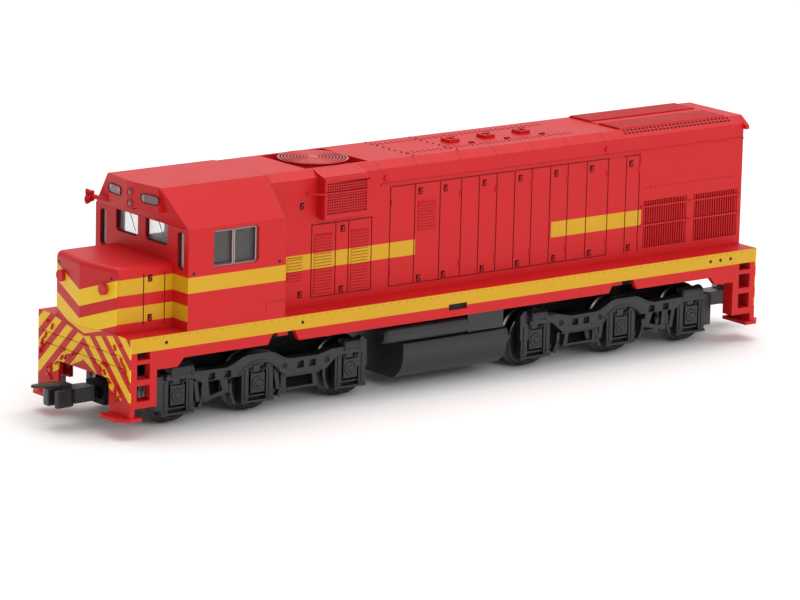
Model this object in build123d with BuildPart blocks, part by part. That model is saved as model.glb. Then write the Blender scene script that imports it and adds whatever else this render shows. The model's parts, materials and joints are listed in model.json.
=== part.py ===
"""HO scale model of a six-axle hood diesel locomotive (all sizes in mm).

Frame: +X toward the cab end, +Y toward the engine's left side, +Z up,
z = 0 at the lowest point of the wheel flanges.
"""
import os
from math import atan2, degrees, hypot

from build123d import *

os.makedirs("parts", exist_ok=True)

# ---------------------------------------------------------------- sizes: body
BODY_HALF = 82.3          # end plates from the middle
BODY_W = 32.4             # over the side sills
Y_SILL = BODY_W / 2
Z_DECK = 20.46            # walkway top
Z_BAND = 17.5             # lower edge of the sill band
Z_SKIRT = 15.3            # skirt edge between the trucks
Z_SKIRT_END = 13.6        # deeper skirt beside the ladders
DECK_T = 1.3
SILL_T = 1.2
PLATE_T = 1.2             # end plates
X_WALK = BODY_HALF - PLATE_T
GROOVE_W, GROOVE_D = 0.26, 0.18   # engraved panel lines

# nose: flat sides, two front faces that meet in an upright ridge
X_RIDGE = BODY_HALF + 1.2
RIDGE_RISE = 1.65         # the ridge stands this far ahead of the corners
X_NOSE = X_RIDGE - RIDGE_RISE
NOSE_LEN = 13.25
NOSE_HALF = 11.0
Z_NOSE = 33.7
NOSE_ROUND = 1.5

# cab
CAB_LEN = 24.1
X_CAB_FRONT = X_NOSE - NOSE_LEN
X_CAB_REAR = X_CAB_FRONT - CAB_LEN
CAB_T = 1.0
Z_EAVE = 40.9
CAB_ROOF_Z = 48.45
CAB_ROOF_Y = 9.2          # flat part of the roof, half width
ROOF_T = 1.0
ROOF_LEAN = 2.0           # the roof's front edge stands ahead of the cab front
X_ROOF_FRONT = X_CAB_FRONT + ROOF_LEAN
BROW_Y, BROW_FLAT_Y = 8.6, 1.3    # headlight brow: half width, half width of its flat middle
BROW_DROP = 5.25          # brow height below the roof
BROW_RISE = 0.9           # its middle stands ahead of the roof's edge
LAMP_R = 0.95
LAMP_DROPS = (2.15, 4.45)  # headlight centres below the roof

# long hood and radiator hood
HOOD_HALF = 10.5
HOOD_T = 1.0
Z_ROOF = 48.4
CHAMFER_Y, CHAMFER_Z = 1.9, 1.5   # roof edge chamfer
RAD_HOOD_LEN = 33.7
X_REAR_HOOD = -BODY_HALF + RAD_HOOD_LEN
LIP = 1.0                 # rear visor
LOUVRE_PITCH, LOUVRE_D = 1.0, 0.25

# running gear
WHEEL_R = 5.7             # tread
FLANGE_R = 6.5
AXLE_Z = FLANGE_R
AXLE_R = 1.0
AXLE_CLEAR = 0.06
WHEEL_BACK = 7.2          # inner face of a wheel from the middle
WHEEL_W = 2.8
FLANGE_T = 0.75
PIVOT_X = BODY_HALF - 35.3
AXLE_OFFSETS = (20.8, 1.0, -22.5)   # ahead of the pivot, outer axle first
PIN_R = 2.0
PIN_CLEAR = 0.08
Z_CHASSIS0, Z_CHASSIS1 = 15.6, 19.16
Y_CHASSIS = 12.6
FRAME_Y0 = 10.5           # side frames: inner face,
FRAME_Y1 = 12.0           #   pedestal face,
FRAME_Y2 = 12.7           #   beam face
COUPLER_Z = 6.2
COUPLER_X = PIVOT_X + 29.0        # coupler pin
COUPLER_PIN_R, COUPLER_CLEAR = 0.7, 0.06


# ---------------------------------------------------------------- helpers
def block(x0, x1, y0, y1, z0, z1, mode=Mode.ADD):
    """Axis-aligned block between two corners."""
    with Locations(((x0 + x1) / 2, (y0 + y1) / 2, (z0 + z1) / 2)):
        Box(abs(x1 - x0), abs(y1 - y0), abs(z1 - z0), mode=mode)


def pair(x0, x1, y0, y1, z0, z1, mode=Mode.ADD):
    """The same block on the left and on the right."""
    block(x0, x1, y0, y1, z0, z1, mode)
    block(x0, x1, -y1, -y0, z0, z1, mode)


def profile(plane, points, depth, mode=Mode.ADD):
    """Closed outline pushed along its plane's normal. Points are (u, v) or (u, v, corner radius)."""
    radii = [p[2] if len(p) > 2 else 0 for p in points]
    with BuildSketch(plane, mode=Mode.PRIVATE) as face:
        with BuildLine():
            if any(radii):
                FilletPolyline(*[p[:2] for p in points], radius=radii, close=True)
            else:
                Polyline(*points, close=True)
        make_face()
    extrude(face.sketch, amount=depth, mode=mode)


def section_yz(points, x0, x1, mode=Mode.ADD):
    profile(Plane(origin=(x0, 0, 0), x_dir=(0, 1, 0), z_dir=(1, 0, 0)), points, x1 - x0, mode)


def outline_xz(points, y0, y1, mode=Mode.ADD):
    profile(Plane(origin=(0, y1, 0), x_dir=(1, 0, 0), z_dir=(0, -1, 0)), points, y1 - y0, mode)


def outline_xy(points, z0, z1, mode=Mode.ADD):
    profile(Plane(origin=(0, 0, z0)), points, z1 - z0, mode)


def chamfered(points):
    """Corners with a third value are cut back by that much along both of their edges."""
    out = []
    for i, p in enumerate(points):
        if len(p) < 3 or not p[2]:
            out.append(p[:2])
            continue
        for q in (points[i - 1], points[(i + 1) % len(points)]):
            d = hypot(q[0] - p[0], q[1] - p[1])
            out.append((p[0] + (q[0] - p[0]) * p[2] / d, p[1] + (q[1] - p[1]) * p[2] / d))
    return out


def mirrored(points):
    """A half outline from the middle outward, made whole about the first coordinate's zero."""
    return [(-p[0], *p[1:]) for p in reversed(points)] + list(points)


def rod_y(x, z, r, y0, y1, mode=Mode.ADD):
    with Locations(Location((x, (y0 + y1) / 2, z), (90, 0, 0))):
        Cylinder(r, abs(y1 - y0), mode=mode)


def rod_x(y, z, r, x0, x1, mode=Mode.ADD):
    with Locations(Location(((x0 + x1) / 2, y, z), (0, 90, 0))):
        Cylinder(r, abs(x1 - x0), mode=mode)


def rod_z(x, y, r, z0, z1, mode=Mode.ADD):
    with Locations((x, y, (z0 + z1) / 2)):
        Cylinder(r, abs(z1 - z0), mode=mode)


def prism_x(y, z, r, x0, x1, sides=12, taper=0, mode=Mode.ADD):
    """Small round piece along X with few sides."""
    with BuildSketch(Plane(origin=(x0, y, z), x_dir=(0, 1, 0), z_dir=(1, 0, 0)),
                     mode=Mode.PRIVATE) as face:
        RegularPolygon(r, sides)
    extrude(face.sketch, amount=x1 - x0, taper=taper, mode=mode)


def prism_y(x, z, r, y0, y1, sides=12, mode=Mode.ADD):
    with BuildSketch(Plane(origin=(x, y0, z), x_dir=(1, 0, 0), z_dir=(0, 1, 0)),
                     mode=Mode.PRIVATE) as face:
        RegularPolygon(r, sides)
    extrude(face.sketch, amount=y1 - y0, mode=mode)


def prism_z(x, y, r, z0, z1, sides=12, mode=Mode.ADD):
    with BuildSketch(Plane(origin=(x, y, z0)), mode=Mode.PRIVATE) as face:
        RegularPolygon(r, sides)
    extrude(face.sketch, amount=z1 - z0, mode=mode)


def save(builder, label, rgb):
    builder.part.label = label
    builder.part.color = Color(*rgb)
    export_step(builder.part, f"parts/{label}.step")


RED = (0.72, 0.08, 0.08)
DARK = (0.10, 0.10, 0.11)
STEEL = (0.45, 0.43, 0.40)
GLASS = (0.35, 0.38, 0.40)
WHITE = (0.85, 0.85, 0.85)
GREY = (0.55, 0.55, 0.55)

# ---------------------------------------------------------------- walkway frame
LADDER_BACK = 6.5         # ladder post's inner edge from the end
X_LADDER = BODY_HALF - LADDER_BACK
X_GAP0, X_GAP1 = PIVOT_X - 6.2, PIVOT_X + 1.6      # jacking gap in the skirt over each truck
GAP_SLOPE = 1.2
NOTCH = (2.4, 16.7, 18.0)                          # fuel filler notch: half length, z0, z1
# lower edge of the side sill from the middle outward: x, z
SILL_EDGE = [(0, Z_SKIRT), (X_GAP0, Z_SKIRT), (X_GAP0 + GAP_SLOPE, Z_BAND),
             (X_GAP1 - GAP_SLOPE, Z_BAND), (X_GAP1, Z_SKIRT), (X_LADDER - 6.5, Z_SKIRT),
             (X_LADDER - 5.0, Z_SKIRT_END), (X_LADDER, Z_SKIRT_END), (X_LADDER, Z_BAND),
             (X_WALK, Z_BAND)]
sill_pts = mirrored(SILL_EDGE[1:])[:len(SILL_EDGE) - 1] + SILL_EDGE + [
    (X_WALK, Z_DECK), (-X_WALK, Z_DECK)]

with BuildPart() as walkway_frame:
    block(-X_WALK, X_WALK, -Y_SILL + SILL_T, Y_SILL - SILL_T, Z_DECK - DECK_T, Z_DECK)
    outline_xz(sill_pts, Y_SILL - SILL_T, Y_SILL)
    outline_xz(sill_pts, -Y_SILL, -Y_SILL + SILL_T)
    pair(-NOTCH[0], NOTCH[0], Y_SILL - SILL_T / 2, Y_SILL + 1, NOTCH[1], NOTCH[2], Mode.SUBTRACT)
    for e in (-1, 1):
        # jacking pads that show in the gaps
        pair(e * (PIVOT_X - 4.2), e * (PIVOT_X - 1.6), Y_SILL - 3.2, Y_SILL - SILL_T,
             Z_SKIRT + 1.1, Z_DECK - DECK_T)
save(walkway_frame, "walkway_frame", RED)

# ---------------------------------------------------------------- end pilots with ladders
OPENING_HALF = 8.9
Z_OPENING = 11.2
Z_FOOT = 4.4
Z_LADDER_FOOT = 6.2
LADDER_X0, LADDER_X1 = BODY_HALF - 4.8, BODY_HALF - 1.7
# ladder openings: z bottom, z top
LADDER_HOLES = ((16.0, Z_BAND), (12.0, 15.1), (7.6, 10.8))
STEP_DEPTH, STEP_T, POST_T = 3.0, 0.8, 0.9
FOOT_T = 0.7
PILOT_LINES = (16.3, 14.0)     # engraved lines: z
PILOT_LINE_HALF = 14.6
# foot plate, seen from above: x from the end plate's face, y
FOOT = [(-2.7, OPENING_HALF + 0.1), (2.3, OPENING_HALF + 0.1), (2.3, Y_SILL - 1.6),
        (0.3, Y_SILL + 0.4), (-2.7, Y_SILL + 0.4)]


def make_pilot(e):
    """End plate, corner ladders and foot plates; e = 1 front, -1 rear."""
    with BuildPart() as pilot:
        block(e * X_WALK, e * BODY_HALF, -Y_SILL, Y_SILL, Z_FOOT, Z_DECK)
        block(e * (X_WALK - 1), e * (BODY_HALF + 1), -OPENING_HALF, OPENING_HALF, 0, Z_OPENING,
              Mode.SUBTRACT)
        for z in PILOT_LINES:
            block(e * (BODY_HALF - GROOVE_D), e * (BODY_HALF + 1), -PILOT_LINE_HALF,
                  PILOT_LINE_HALF, z, z + GROOVE_W, Mode.SUBTRACT)
        for s in (-1, 1):
            # ladder panel below the band, its openings, its post and treads
            block(e * X_LADDER, e * X_WALK, s * (Y_SILL - SILL_T), s * Y_SILL,
                  Z_LADDER_FOOT, Z_BAND)
            for z0, z1 in LADDER_HOLES:
                block(e * LADDER_X0, e * LADDER_X1, s * (Y_SILL - SILL_T - 1), s * (Y_SILL + 1),
                      z0, z1, Mode.SUBTRACT)
            block(e * X_LADDER, e * (X_LADDER + POST_T), s * (Y_SILL - STEP_DEPTH),
                  s * (Y_SILL - SILL_T), Z_LADDER_FOOT, Z_BAND)
            for z0, z1 in LADDER_HOLES:
                z = z0 - STEP_T
                block(e * X_LADDER, e * X_WALK, s * (Y_SILL - STEP_DEPTH),
                      s * (Y_SILL - SILL_T), z, z + STEP_T)
            outline_xy([(e * (BODY_HALF + x), s * y) for x, y in FOOT], Z_FOOT - FOOT_T, Z_FOOT)
    return pilot


front_pilot = make_pilot(1)
save(front_pilot, "front_pilot", RED)
rear_pilot = make_pilot(-1)
save(rear_pilot, "rear_pilot", RED)

# ---------------------------------------------------------------- chassis plate
CHASSIS_BACK = 7.8        # the plate's end from the body's end
Z_BOSS = 14.4
with BuildPart() as chassis:
    block(-BODY_HALF + CHASSIS_BACK, BODY_HALF - CHASSIS_BACK, -Y_CHASSIS, Y_CHASSIS,
          Z_CHASSIS0, Z_CHASSIS1)
    for e in (-1, 1):
        prism_z(e * PIVOT_X, 0, PIN_R * 2.5, Z_BOSS, Z_CHASSIS0 + 0.5, 16)
        rod_z(e * PIVOT_X, 0, PIN_R + PIN_CLEAR, Z_BOSS - 1, Z_CHASSIS1 + 1, Mode.SUBTRACT)
save(chassis, "chassis_plate", DARK)

BLOCK_X0, BLOCK_X1, BLOCK_HALF, BLOCK_TOP = -40.0, 36.0, 8.2, 40.0
with BuildPart() as motor_block:
    block(BLOCK_X0, BLOCK_X1, -BLOCK_HALF, BLOCK_HALF, Z_DECK, BLOCK_TOP)
save(motor_block, "motor_and_weight_block", STEEL)

# ---------------------------------------------------------------- nose
NOSE_T, NOSE_TOP_T = 1.0, 1.2
NOSE_DOORS = (6.35, 11.45)      # side door lines back from the nose corner
NOSE_LAMP_Y, NOSE_LAMP_Z, NOSE_LAMP_R = 7.4, 29.1, 1.2
NOSE_LAMP_OUT = 0.75
ridge_slope = RIDGE_RISE / NOSE_HALF

with BuildPart() as nose:
    section_yz([(NOSE_HALF, Z_DECK), (NOSE_HALF, Z_NOSE, NOSE_ROUND),
                (-NOSE_HALF, Z_NOSE, NOSE_ROUND), (-NOSE_HALF, Z_DECK)], X_CAB_FRONT, X_RIDGE)
    # the two front faces
    for s in (-1, 1):
        outline_xy([(X_RIDGE, 0), (X_NOSE, s * NOSE_HALF), (X_NOSE, s * (NOSE_HALF + 1)),
                    (X_RIDGE + 1, s * (NOSE_HALF + 1)), (X_RIDGE + 1, 0)],
                   Z_DECK - 1, Z_NOSE + 1, Mode.SUBTRACT)
    front_top = nose.edges().filter_by(lambda edge: edge.center().X > X_NOSE - 0.1
                                       and edge.center().Z > Z_NOSE - 0.01)
    fillet(front_top, NOSE_ROUND * 0.8)
    block(X_CAB_FRONT - 1, X_NOSE - NOSE_T, -NOSE_HALF + NOSE_T, NOSE_HALF - NOSE_T,
          Z_DECK - 1, Z_NOSE - NOSE_TOP_T, Mode.SUBTRACT)
    for x in NOSE_DOORS:
        pair(X_NOSE - x, X_NOSE - x + GROOVE_W, NOSE_HALF - GROOVE_D, NOSE_HALF + 1,
             Z_DECK + 1, Z_NOSE - NOSE_ROUND, Mode.SUBTRACT)
save(nose, "nose_hood", RED)

x_lamp = X_RIDGE - ridge_slope * (NOSE_LAMP_Y - NOSE_LAMP_R)
with BuildPart() as class_lamps:
    for s in (-1, 1):
        prism_x(s * NOSE_LAMP_Y, NOSE_LAMP_Z, NOSE_LAMP_R,
                X_RIDGE - ridge_slope * (NOSE_LAMP_Y - NOSE_LAMP_R), x_lamp + NOSE_LAMP_OUT, 20)
save(class_lamps, "class_lamps", RED)

# ---------------------------------------------------------------- cab body
WINDOW_CORNER = 0.6
# front windows on each half: y inner, y outer, z bottom, z top
FRONT_WINDOWS = ((1.3, 9.0, 36.5, 41.5), (12.4, 14.6, 32.5, 40.2))
# side window: x behind the cab front (near, far), z bottom, z top
SIDE_WINDOW = (6.2, 17.3, 32.7, 40.3)
WIN_X0, WIN_X1 = X_CAB_FRONT - SIDE_WINDOW[1], X_CAB_FRONT - SIDE_WINDOW[0]
WIN_POST_X = X_CAB_FRONT - 11.4
CAB_DOORWAY = (9.0, 38.0)       # rear opening to the hood: half width, z top
# inner outline of the roof: the front wall fills it
roof_in = [(Y_SILL - CAB_T, Z_EAVE), (CAB_ROOF_Y - 0.8, CAB_ROOF_Z - ROOF_T - 0.05),
           (-CAB_ROOF_Y + 0.8, CAB_ROOF_Z - ROOF_T - 0.05), (-Y_SILL + CAB_T, Z_EAVE)]


def window(a0, a1, b0, b1, r=WINDOW_CORNER):
    """Opening with cut corners."""
    return [(a0 + r, b0), (a1 - r, b0), (a1, b0 + r), (a1, b1 - r), (a1 - r, b1), (a0 + r, b1),
            (a0, b1 - r), (a0, b0 + r)]


with BuildPart() as cab:
    block(X_CAB_REAR, X_CAB_FRONT, -Y_SILL, Y_SILL, Z_DECK, Z_EAVE)
    block(X_CAB_REAR + CAB_T, X_CAB_FRONT - CAB_T, -Y_SILL + CAB_T, Y_SILL - CAB_T,
          Z_DECK - 1, Z_EAVE + 1, Mode.SUBTRACT)
    section_yz(roof_in, X_CAB_FRONT - CAB_T, X_CAB_FRONT)
    block(X_CAB_REAR - 1, X_CAB_REAR + CAB_T + 1, -CAB_DOORWAY[0], CAB_DOORWAY[0], Z_DECK - 1,
          CAB_DOORWAY[1], Mode.SUBTRACT)
    for s in (-1, 1):
        outline_xz(window(WIN_X0, WIN_X1, *SIDE_WINDOW[2:]), min(s * (Y_SILL - CAB_T - 1),
                   s * (Y_SILL + 1)), max(s * (Y_SILL - CAB_T - 1), s * (Y_SILL + 1)),
                   Mode.SUBTRACT)
        for y0, y1, z0, z1 in FRONT_WINDOWS:
            section_yz(window(min(s * y0, s * y1), max(s * y0, s * y1), z0, z1),
                       X_CAB_FRONT - CAB_T - 1, X_CAB_FRONT + 1, Mode.SUBTRACT)
save(cab, "cab_body", RED)

# ---------------------------------------------------------------- cab roof with headlight brow
X_BROW = X_ROOF_FRONT + BROW_RISE
Z_BROW = CAB_ROOF_Z - BROW_DROP
brow_plan = mirrored([(BROW_FLAT_Y, X_BROW), (BROW_Y, X_ROOF_FRONT),
                      (BROW_Y, X_CAB_FRONT)])
with BuildPart() as cab_roof:
    section_yz([(Y_SILL, Z_EAVE), (CAB_ROOF_Y, CAB_ROOF_Z), (-CAB_ROOF_Y, CAB_ROOF_Z),
                (-Y_SILL, Z_EAVE)], X_CAB_REAR, X_ROOF_FRONT)
    section_yz(roof_in, X_CAB_REAR + CAB_T, X_CAB_FRONT, Mode.SUBTRACT)
    # the front leans out from the eave to the roof's edge
    outline_xz([(X_CAB_FRONT, Z_EAVE - 1), (X_CAB_FRONT, Z_EAVE), (X_ROOF_FRONT, CAB_ROOF_Z),
                (X_ROOF_FRONT + 2, CAB_ROOF_Z), (X_ROOF_FRONT + 2, Z_EAVE - 1)],
               -BODY_W, BODY_W, Mode.SUBTRACT)
    outline_xy([(x, y) for y, x in brow_plan], Z_BROW, CAB_ROOF_Z)
    # housing of the lower headlight dips below the brow
    prism_x(0, CAB_ROOF_Z - LAMP_DROPS[1], LAMP_R + 0.5, X_CAB_FRONT, X_BROW, 20)
save(cab_roof, "cab_roof", RED)

LENS_OUT = 0.25
with BuildPart() as headlights:
    for drop in LAMP_DROPS:
        prism_x(0, CAB_ROOF_Z - drop, LAMP_R, X_BROW, X_BROW + LENS_OUT, 20)
save(headlights, "headlight_lenses", GLASS)

# blank number boards on the brow's swept faces: distance along the face, z below the roof
BOARD = (2.4, 7.2, 2.0, 3.6)
BOARD_T = 0.2
brow_angle = degrees(atan2(BROW_RISE, BROW_Y - BROW_FLAT_Y))
with BuildPart() as boards:
    for s in (-1, 1):
        along = Vector(-BROW_RISE, s * (BROW_Y - BROW_FLAT_Y), 0).normalized()
        out = Vector(BROW_Y - BROW_FLAT_Y, s * BROW_RISE, 0).normalized()
        with BuildSketch(Plane(origin=(X_BROW, s * BROW_FLAT_Y, CAB_ROOF_Z), x_dir=along,
                               z_dir=out), mode=Mode.PRIVATE) as face:
            with BuildLine():
                # the sketch's second axis points up on the left half, down on the right
                Polyline(*[(u, -s * v) for u, v in window(*BOARD, 0.5)], close=True)
            make_face()
        extrude(face.sketch, amount=BOARD_T)
save(boards, "number_boards", WHITE)

# ---------------------------------------------------------------- cab glazing and window frames
GLAZE_T, GLAZE_LAP = 0.6, 0.7
with BuildPart() as front_glazing:
    section_yz([(Y_SILL - CAB_T - 0.2, FRONT_WINDOWS[1][2] - GLAZE_LAP),
                (Y_SILL - CAB_T - 0.2, Z_EAVE - 0.1), (CAB_ROOF_Y, FRONT_WINDOWS[0][3] + GLAZE_LAP),
                (-CAB_ROOF_Y, FRONT_WINDOWS[0][3] + GLAZE_LAP), (-Y_SILL + CAB_T + 0.2, Z_EAVE - 0.1),
                (-Y_SILL + CAB_T + 0.2, FRONT_WINDOWS[1][2] - GLAZE_LAP)],
               X_CAB_FRONT - CAB_T - GLAZE_T, X_CAB_FRONT - CAB_T)
save(front_glazing, "front_glazing", GLASS)

RIM = 0.45
for s, side in ((1, "left"), (-1, "right")):
    with BuildPart() as side_glazing:
        block(WIN_X0 - GLAZE_LAP, WIN_X1 + GLAZE_LAP, s * (Y_SILL - CAB_T - GLAZE_T),
              s * (Y_SILL - CAB_T), SIDE_WINDOW[2] - GLAZE_LAP, Z_EAVE - 0.1)
    save(side_glazing, f"{side}_cab_glazing", GLASS)
    with BuildPart() as window_frame:
        y0, y1 = sorted((s * (Y_SILL - CAB_T), s * (Y_SILL - CAB_T + 0.45)))
        outline_xz(window(WIN_X0, WIN_X1, *SIDE_WINDOW[2:]), y0, y1)
        outline_xz(window(WIN_X0 + RIM, WIN_POST_X - RIM / 2, SIDE_WINDOW[2] + RIM,
                          SIDE_WINDOW[3] - RIM, 0.4), y0, y1, Mode.SUBTRACT)
        outline_xz(window(WIN_POST_X + RIM / 2, WIN_X1 - RIM, SIDE_WINDOW[2] + RIM,
                          SIDE_WINDOW[3] - RIM, 0.4), y0, y1, Mode.SUBTRACT)
    save(window_frame, f"{side}_window_frame", GREY)

# ---------------------------------------------------------------- horn on the right
HORN_Z = CAB_ROOF_Z - 4.4
# trumpets: z above the arm, length ahead, mouth radius
TRUMPETS = ((0.95, 1.5, 0.75), (-0.1, 2.3, 0.65), (-1.0, 1.8, 0.7))
X_HORN = X_ROOF_FRONT - 0.4
with BuildPart() as horn:
    block(X_HORN - 0.3, X_HORN + 0.3, -Y_SILL, -BROW_Y, HORN_Z - 0.3, HORN_Z + 0.3)
    block(X_HORN - 0.35, X_HORN + 0.35, -Y_SILL - 0.1, -Y_SILL + 0.6, HORN_Z - 1.5, HORN_Z + 1.4)
    for dz, length, r in TRUMPETS:
        prism_x(-Y_SILL + 0.25, HORN_Z + dz, r, X_HORN + length, X_HORN, 10, 12)
save(horn, "air_horn", RED)

# ---------------------------------------------------------------- long hood
hood_out = mirrored([(CHAMFER := HOOD_HALF - CHAMFER_Y, Z_ROOF), (HOOD_HALF, Z_ROOF - CHAMFER_Z),
                     (HOOD_HALF, Z_DECK)])
hood_in = mirrored([(HOOD_HALF - CHAMFER_Y - 0.4, Z_ROOF - HOOD_T),
                    (HOOD_HALF - HOOD_T, Z_ROOF - CHAMFER_Z - 0.6),
                    (HOOD_HALF - HOOD_T, Z_DECK - 1)])
FAN_X, FAN_R, FAN_TOP = 26.1, 7.35, 0.4        # top above the roof
FAN_FLOOR = Z_ROOF - 2.0
FAN_X0, FAN_X1, FAN_HALF = 17.9, 33.8, 7.9
Z_DRIP, Z_DOOR_TOP, Z_DOOR_BOTTOM = 43.6, 42.9, 22.0
# engraved upright lines: x, z bottom, z top
DOOR_LINES = [(x, Z_DOOR_BOTTOM, Z_DOOR_TOP) for x in
              (13.9, 7.5, 0.9, -4.7, -9.4, -14.1, -18.9, -23.5, -28.5, -33.3, -38.5, -44.4)]
DOOR_LINES += [(x, Z_DOOR_BOTTOM, 37.1) for x in (33.9, 27.8, 24.5, 18.6)]
# engraved level lines: z, x front, x rear
LEVEL_LINES = [(Z_DOOR_TOP, 13.9, -44.4), (37.1, 33.9, 18.6), (Z_DOOR_BOTTOM, 33.9, 18.6),
               (Z_DOOR_BOTTOM, 13.9, -44.4)]
# louvre fields: x rear, x front, z bottom, z top
LOUVRES = ((36.1, 40.0, 26.0, 31.0), (28.6, 33.2, 22.8, 35.4), (19.3, 23.8, 22.8, 35.4),
           (2.0, 6.6, 33.1, 39.5))


def louvre_field(s, x0, x1, z0, z1):
    """Sawtooth cut in the side wall: each louvre leans out toward its lower edge."""
    count = int((z1 - z0) / LOUVRE_PITCH)
    teeth = [(s * (HOOD_HALF + 0.1), z0 + count * LOUVRE_PITCH), (s * (HOOD_HALF + 0.1), z0)]
    for k in range(count):
        z = z0 + k * LOUVRE_PITCH
        teeth += [(s * (HOOD_HALF - 0.01), z), (s * (HOOD_HALF - LOUVRE_D), z + LOUVRE_PITCH - 0.08)]
    section_yz(teeth, x0, x1, Mode.SUBTRACT)


def engrave(s, lines, levels):
    for x, z0, z1 in lines:
        block(x - GROOVE_W / 2, x + GROOVE_W / 2, s * (HOOD_HALF - GROOVE_D), s * (HOOD_HALF + 1),
              z0, z1, Mode.SUBTRACT)
    for z, x1, x0 in levels:
        block(x0 - GROOVE_W / 2, x1 + GROOVE_W / 2, s * (HOOD_HALF - GROOVE_D),
              s * (HOOD_HALF + 1), z, z + GROOVE_W, Mode.SUBTRACT)


with BuildPart() as hood:
    section_yz(hood_out, X_REAR_HOOD, X_CAB_REAR)
    section_yz(hood_in, X_REAR_HOOD - 1, X_CAB_REAR + 1, Mode.SUBTRACT)
    # sunk floor under the fan
    block(FAN_X0 - 1, FAN_X1 + 1, -CHAMFER, CHAMFER, FAN_FLOOR - 1.0, Z_ROOF - 0.5)
    block(FAN_X0, FAN_X1, -FAN_HALF, FAN_HALF, FAN_FLOOR, Z_ROOF + 1, Mode.SUBTRACT)
    for s in (-1, 1):
        engrave(s, DOOR_LINES, LEVEL_LINES)
        for field in LOUVRES:
            louvre_field(s, *field)
        # drip rail over the doors
        block(X_REAR_HOOD, FAN_X0 - 1.5, s * HOOD_HALF, s * (HOOD_HALF + 0.2), Z_DRIP, Z_DRIP + 0.3)
save(hood, "long_hood", RED)

# ---------------------------------------------------------------- radiator hood with its grilles
# side grilles: x ahead of the rear end (rear, front)
RADIATORS = ((1.1, 13.7), (15.6, 27.9))
RAD_Z0, RAD_Z1 = 22.5, 32.7
RAD_FIT = 0.05
SLATS = 12
REAR_DOOR_LINES = [(X_REAR_HOOD - 0.8, Z_DOOR_BOTTOM, Z_DOOR_TOP),
                   (X_REAR_HOOD - 4.5, Z_DOOR_BOTTOM, Z_DOOR_TOP)]

with BuildPart() as rear_hood:
    section_yz(hood_out, -BODY_HALF, X_REAR_HOOD)
    section_yz(hood_in, -BODY_HALF + HOOD_T, X_REAR_HOOD + 1, Mode.SUBTRACT)
    # visor over the rear end
    lip_half, lip_z = HOOD_HALF + 0.7, Z_ROOF - 2.7
    section_yz(mirrored([(HOOD_HALF - CHAMFER_Y, Z_ROOF), (lip_half, Z_ROOF - CHAMFER_Z - 0.4, 0.5),
                         (lip_half, lip_z)]), -BODY_HALF - LIP, -BODY_HALF)
    for s in (-1, 1):
        for x0, x1 in RADIATORS:
            block(-BODY_HALF + x0, -BODY_HALF + x1, s * (HOOD_HALF - HOOD_T - 1),
                  s * (HOOD_HALF + 1), RAD_Z0, RAD_Z1, Mode.SUBTRACT)
        engrave(s, REAR_DOOR_LINES, [(Z_DOOR_TOP, X_REAR_HOOD, X_REAR_HOOD - 4.5)])
        block(-BODY_HALF, X_REAR_HOOD, s * HOOD_HALF, s * (HOOD_HALF + 0.2), Z_DRIP, Z_DRIP + 0.3)
save(rear_hood, "radiator_hood", RED)

y_back, y_slat = HOOD_HALF - HOOD_T, HOOD_HALF - 0.25
for s, side in ((1, "left"), (-1, "right")):
    with BuildPart() as rad_grille:
        for x0, x1 in RADIATORS:
            a, b = -BODY_HALF + x0 + RAD_FIT, -BODY_HALF + x1 - RAD_FIT
            # comb of upright slats on a back plate, seen from above
            pitch = (b - a) / SLATS
            comb = [(b, s * y_back), (a, s * y_back)]
            for k in range(SLATS):
                x = a + k * pitch
                comb += [(x, s * (y_back + 0.25)), (x + pitch / 2, s * (y_back + 0.25)),
                         (x + pitch / 2, s * y_slat), (x + pitch, s * y_slat)]
            outline_xy(comb, RAD_Z0 + RAD_FIT, RAD_Z1 - RAD_FIT)
    save(rad_grille, f"{side}_radiator_grilles", RED)

# roof radiator: two raised grille panels with a lower strip between them
TRAY = (3.8, 33.4, 8.5, 1.45)       # x ahead of the rear end (rear, front), half width, half strip
TRAY_H, STRIP_H = 0.4, 0.15         # heights over the roof
with BuildPart() as roof_grille:
    section_yz(mirrored([(TRAY[3], Z_ROOF + STRIP_H), (TRAY[3], Z_ROOF + TRAY_H),
                         (TRAY[2] - 0.3, Z_ROOF + TRAY_H), (TRAY[2], Z_ROOF)]),
               -BODY_HALF + TRAY[0], -BODY_HALF + TRAY[1])
save(roof_grille, "roof_radiator_grille", RED)

# ---------------------------------------------------------------- fan grille
RING_GAP, RING_W, FAN_RINGS = 0.8, 0.9, 3
GROOVE_Z = Z_ROOF + FAN_TOP - 0.5
with BuildPart() as fan:
    prism_z(FAN_X, 0, FAN_R, FAN_FLOOR, Z_ROOF + FAN_TOP, 40)
    for k in range(FAN_RINGS):
        r = FAN_R - RING_W - k * (RING_GAP + RING_W)
        with BuildSketch(Plane(origin=(FAN_X, 0, GROOVE_Z)), mode=Mode.PRIVATE) as ring:
            RegularPolygon(r, 20)
            RegularPolygon(r - RING_GAP, 20, mode=Mode.SUBTRACT)
        extrude(ring.sketch, amount=1, mode=Mode.SUBTRACT)
save(fan, "fan_grille", RED)

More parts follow.
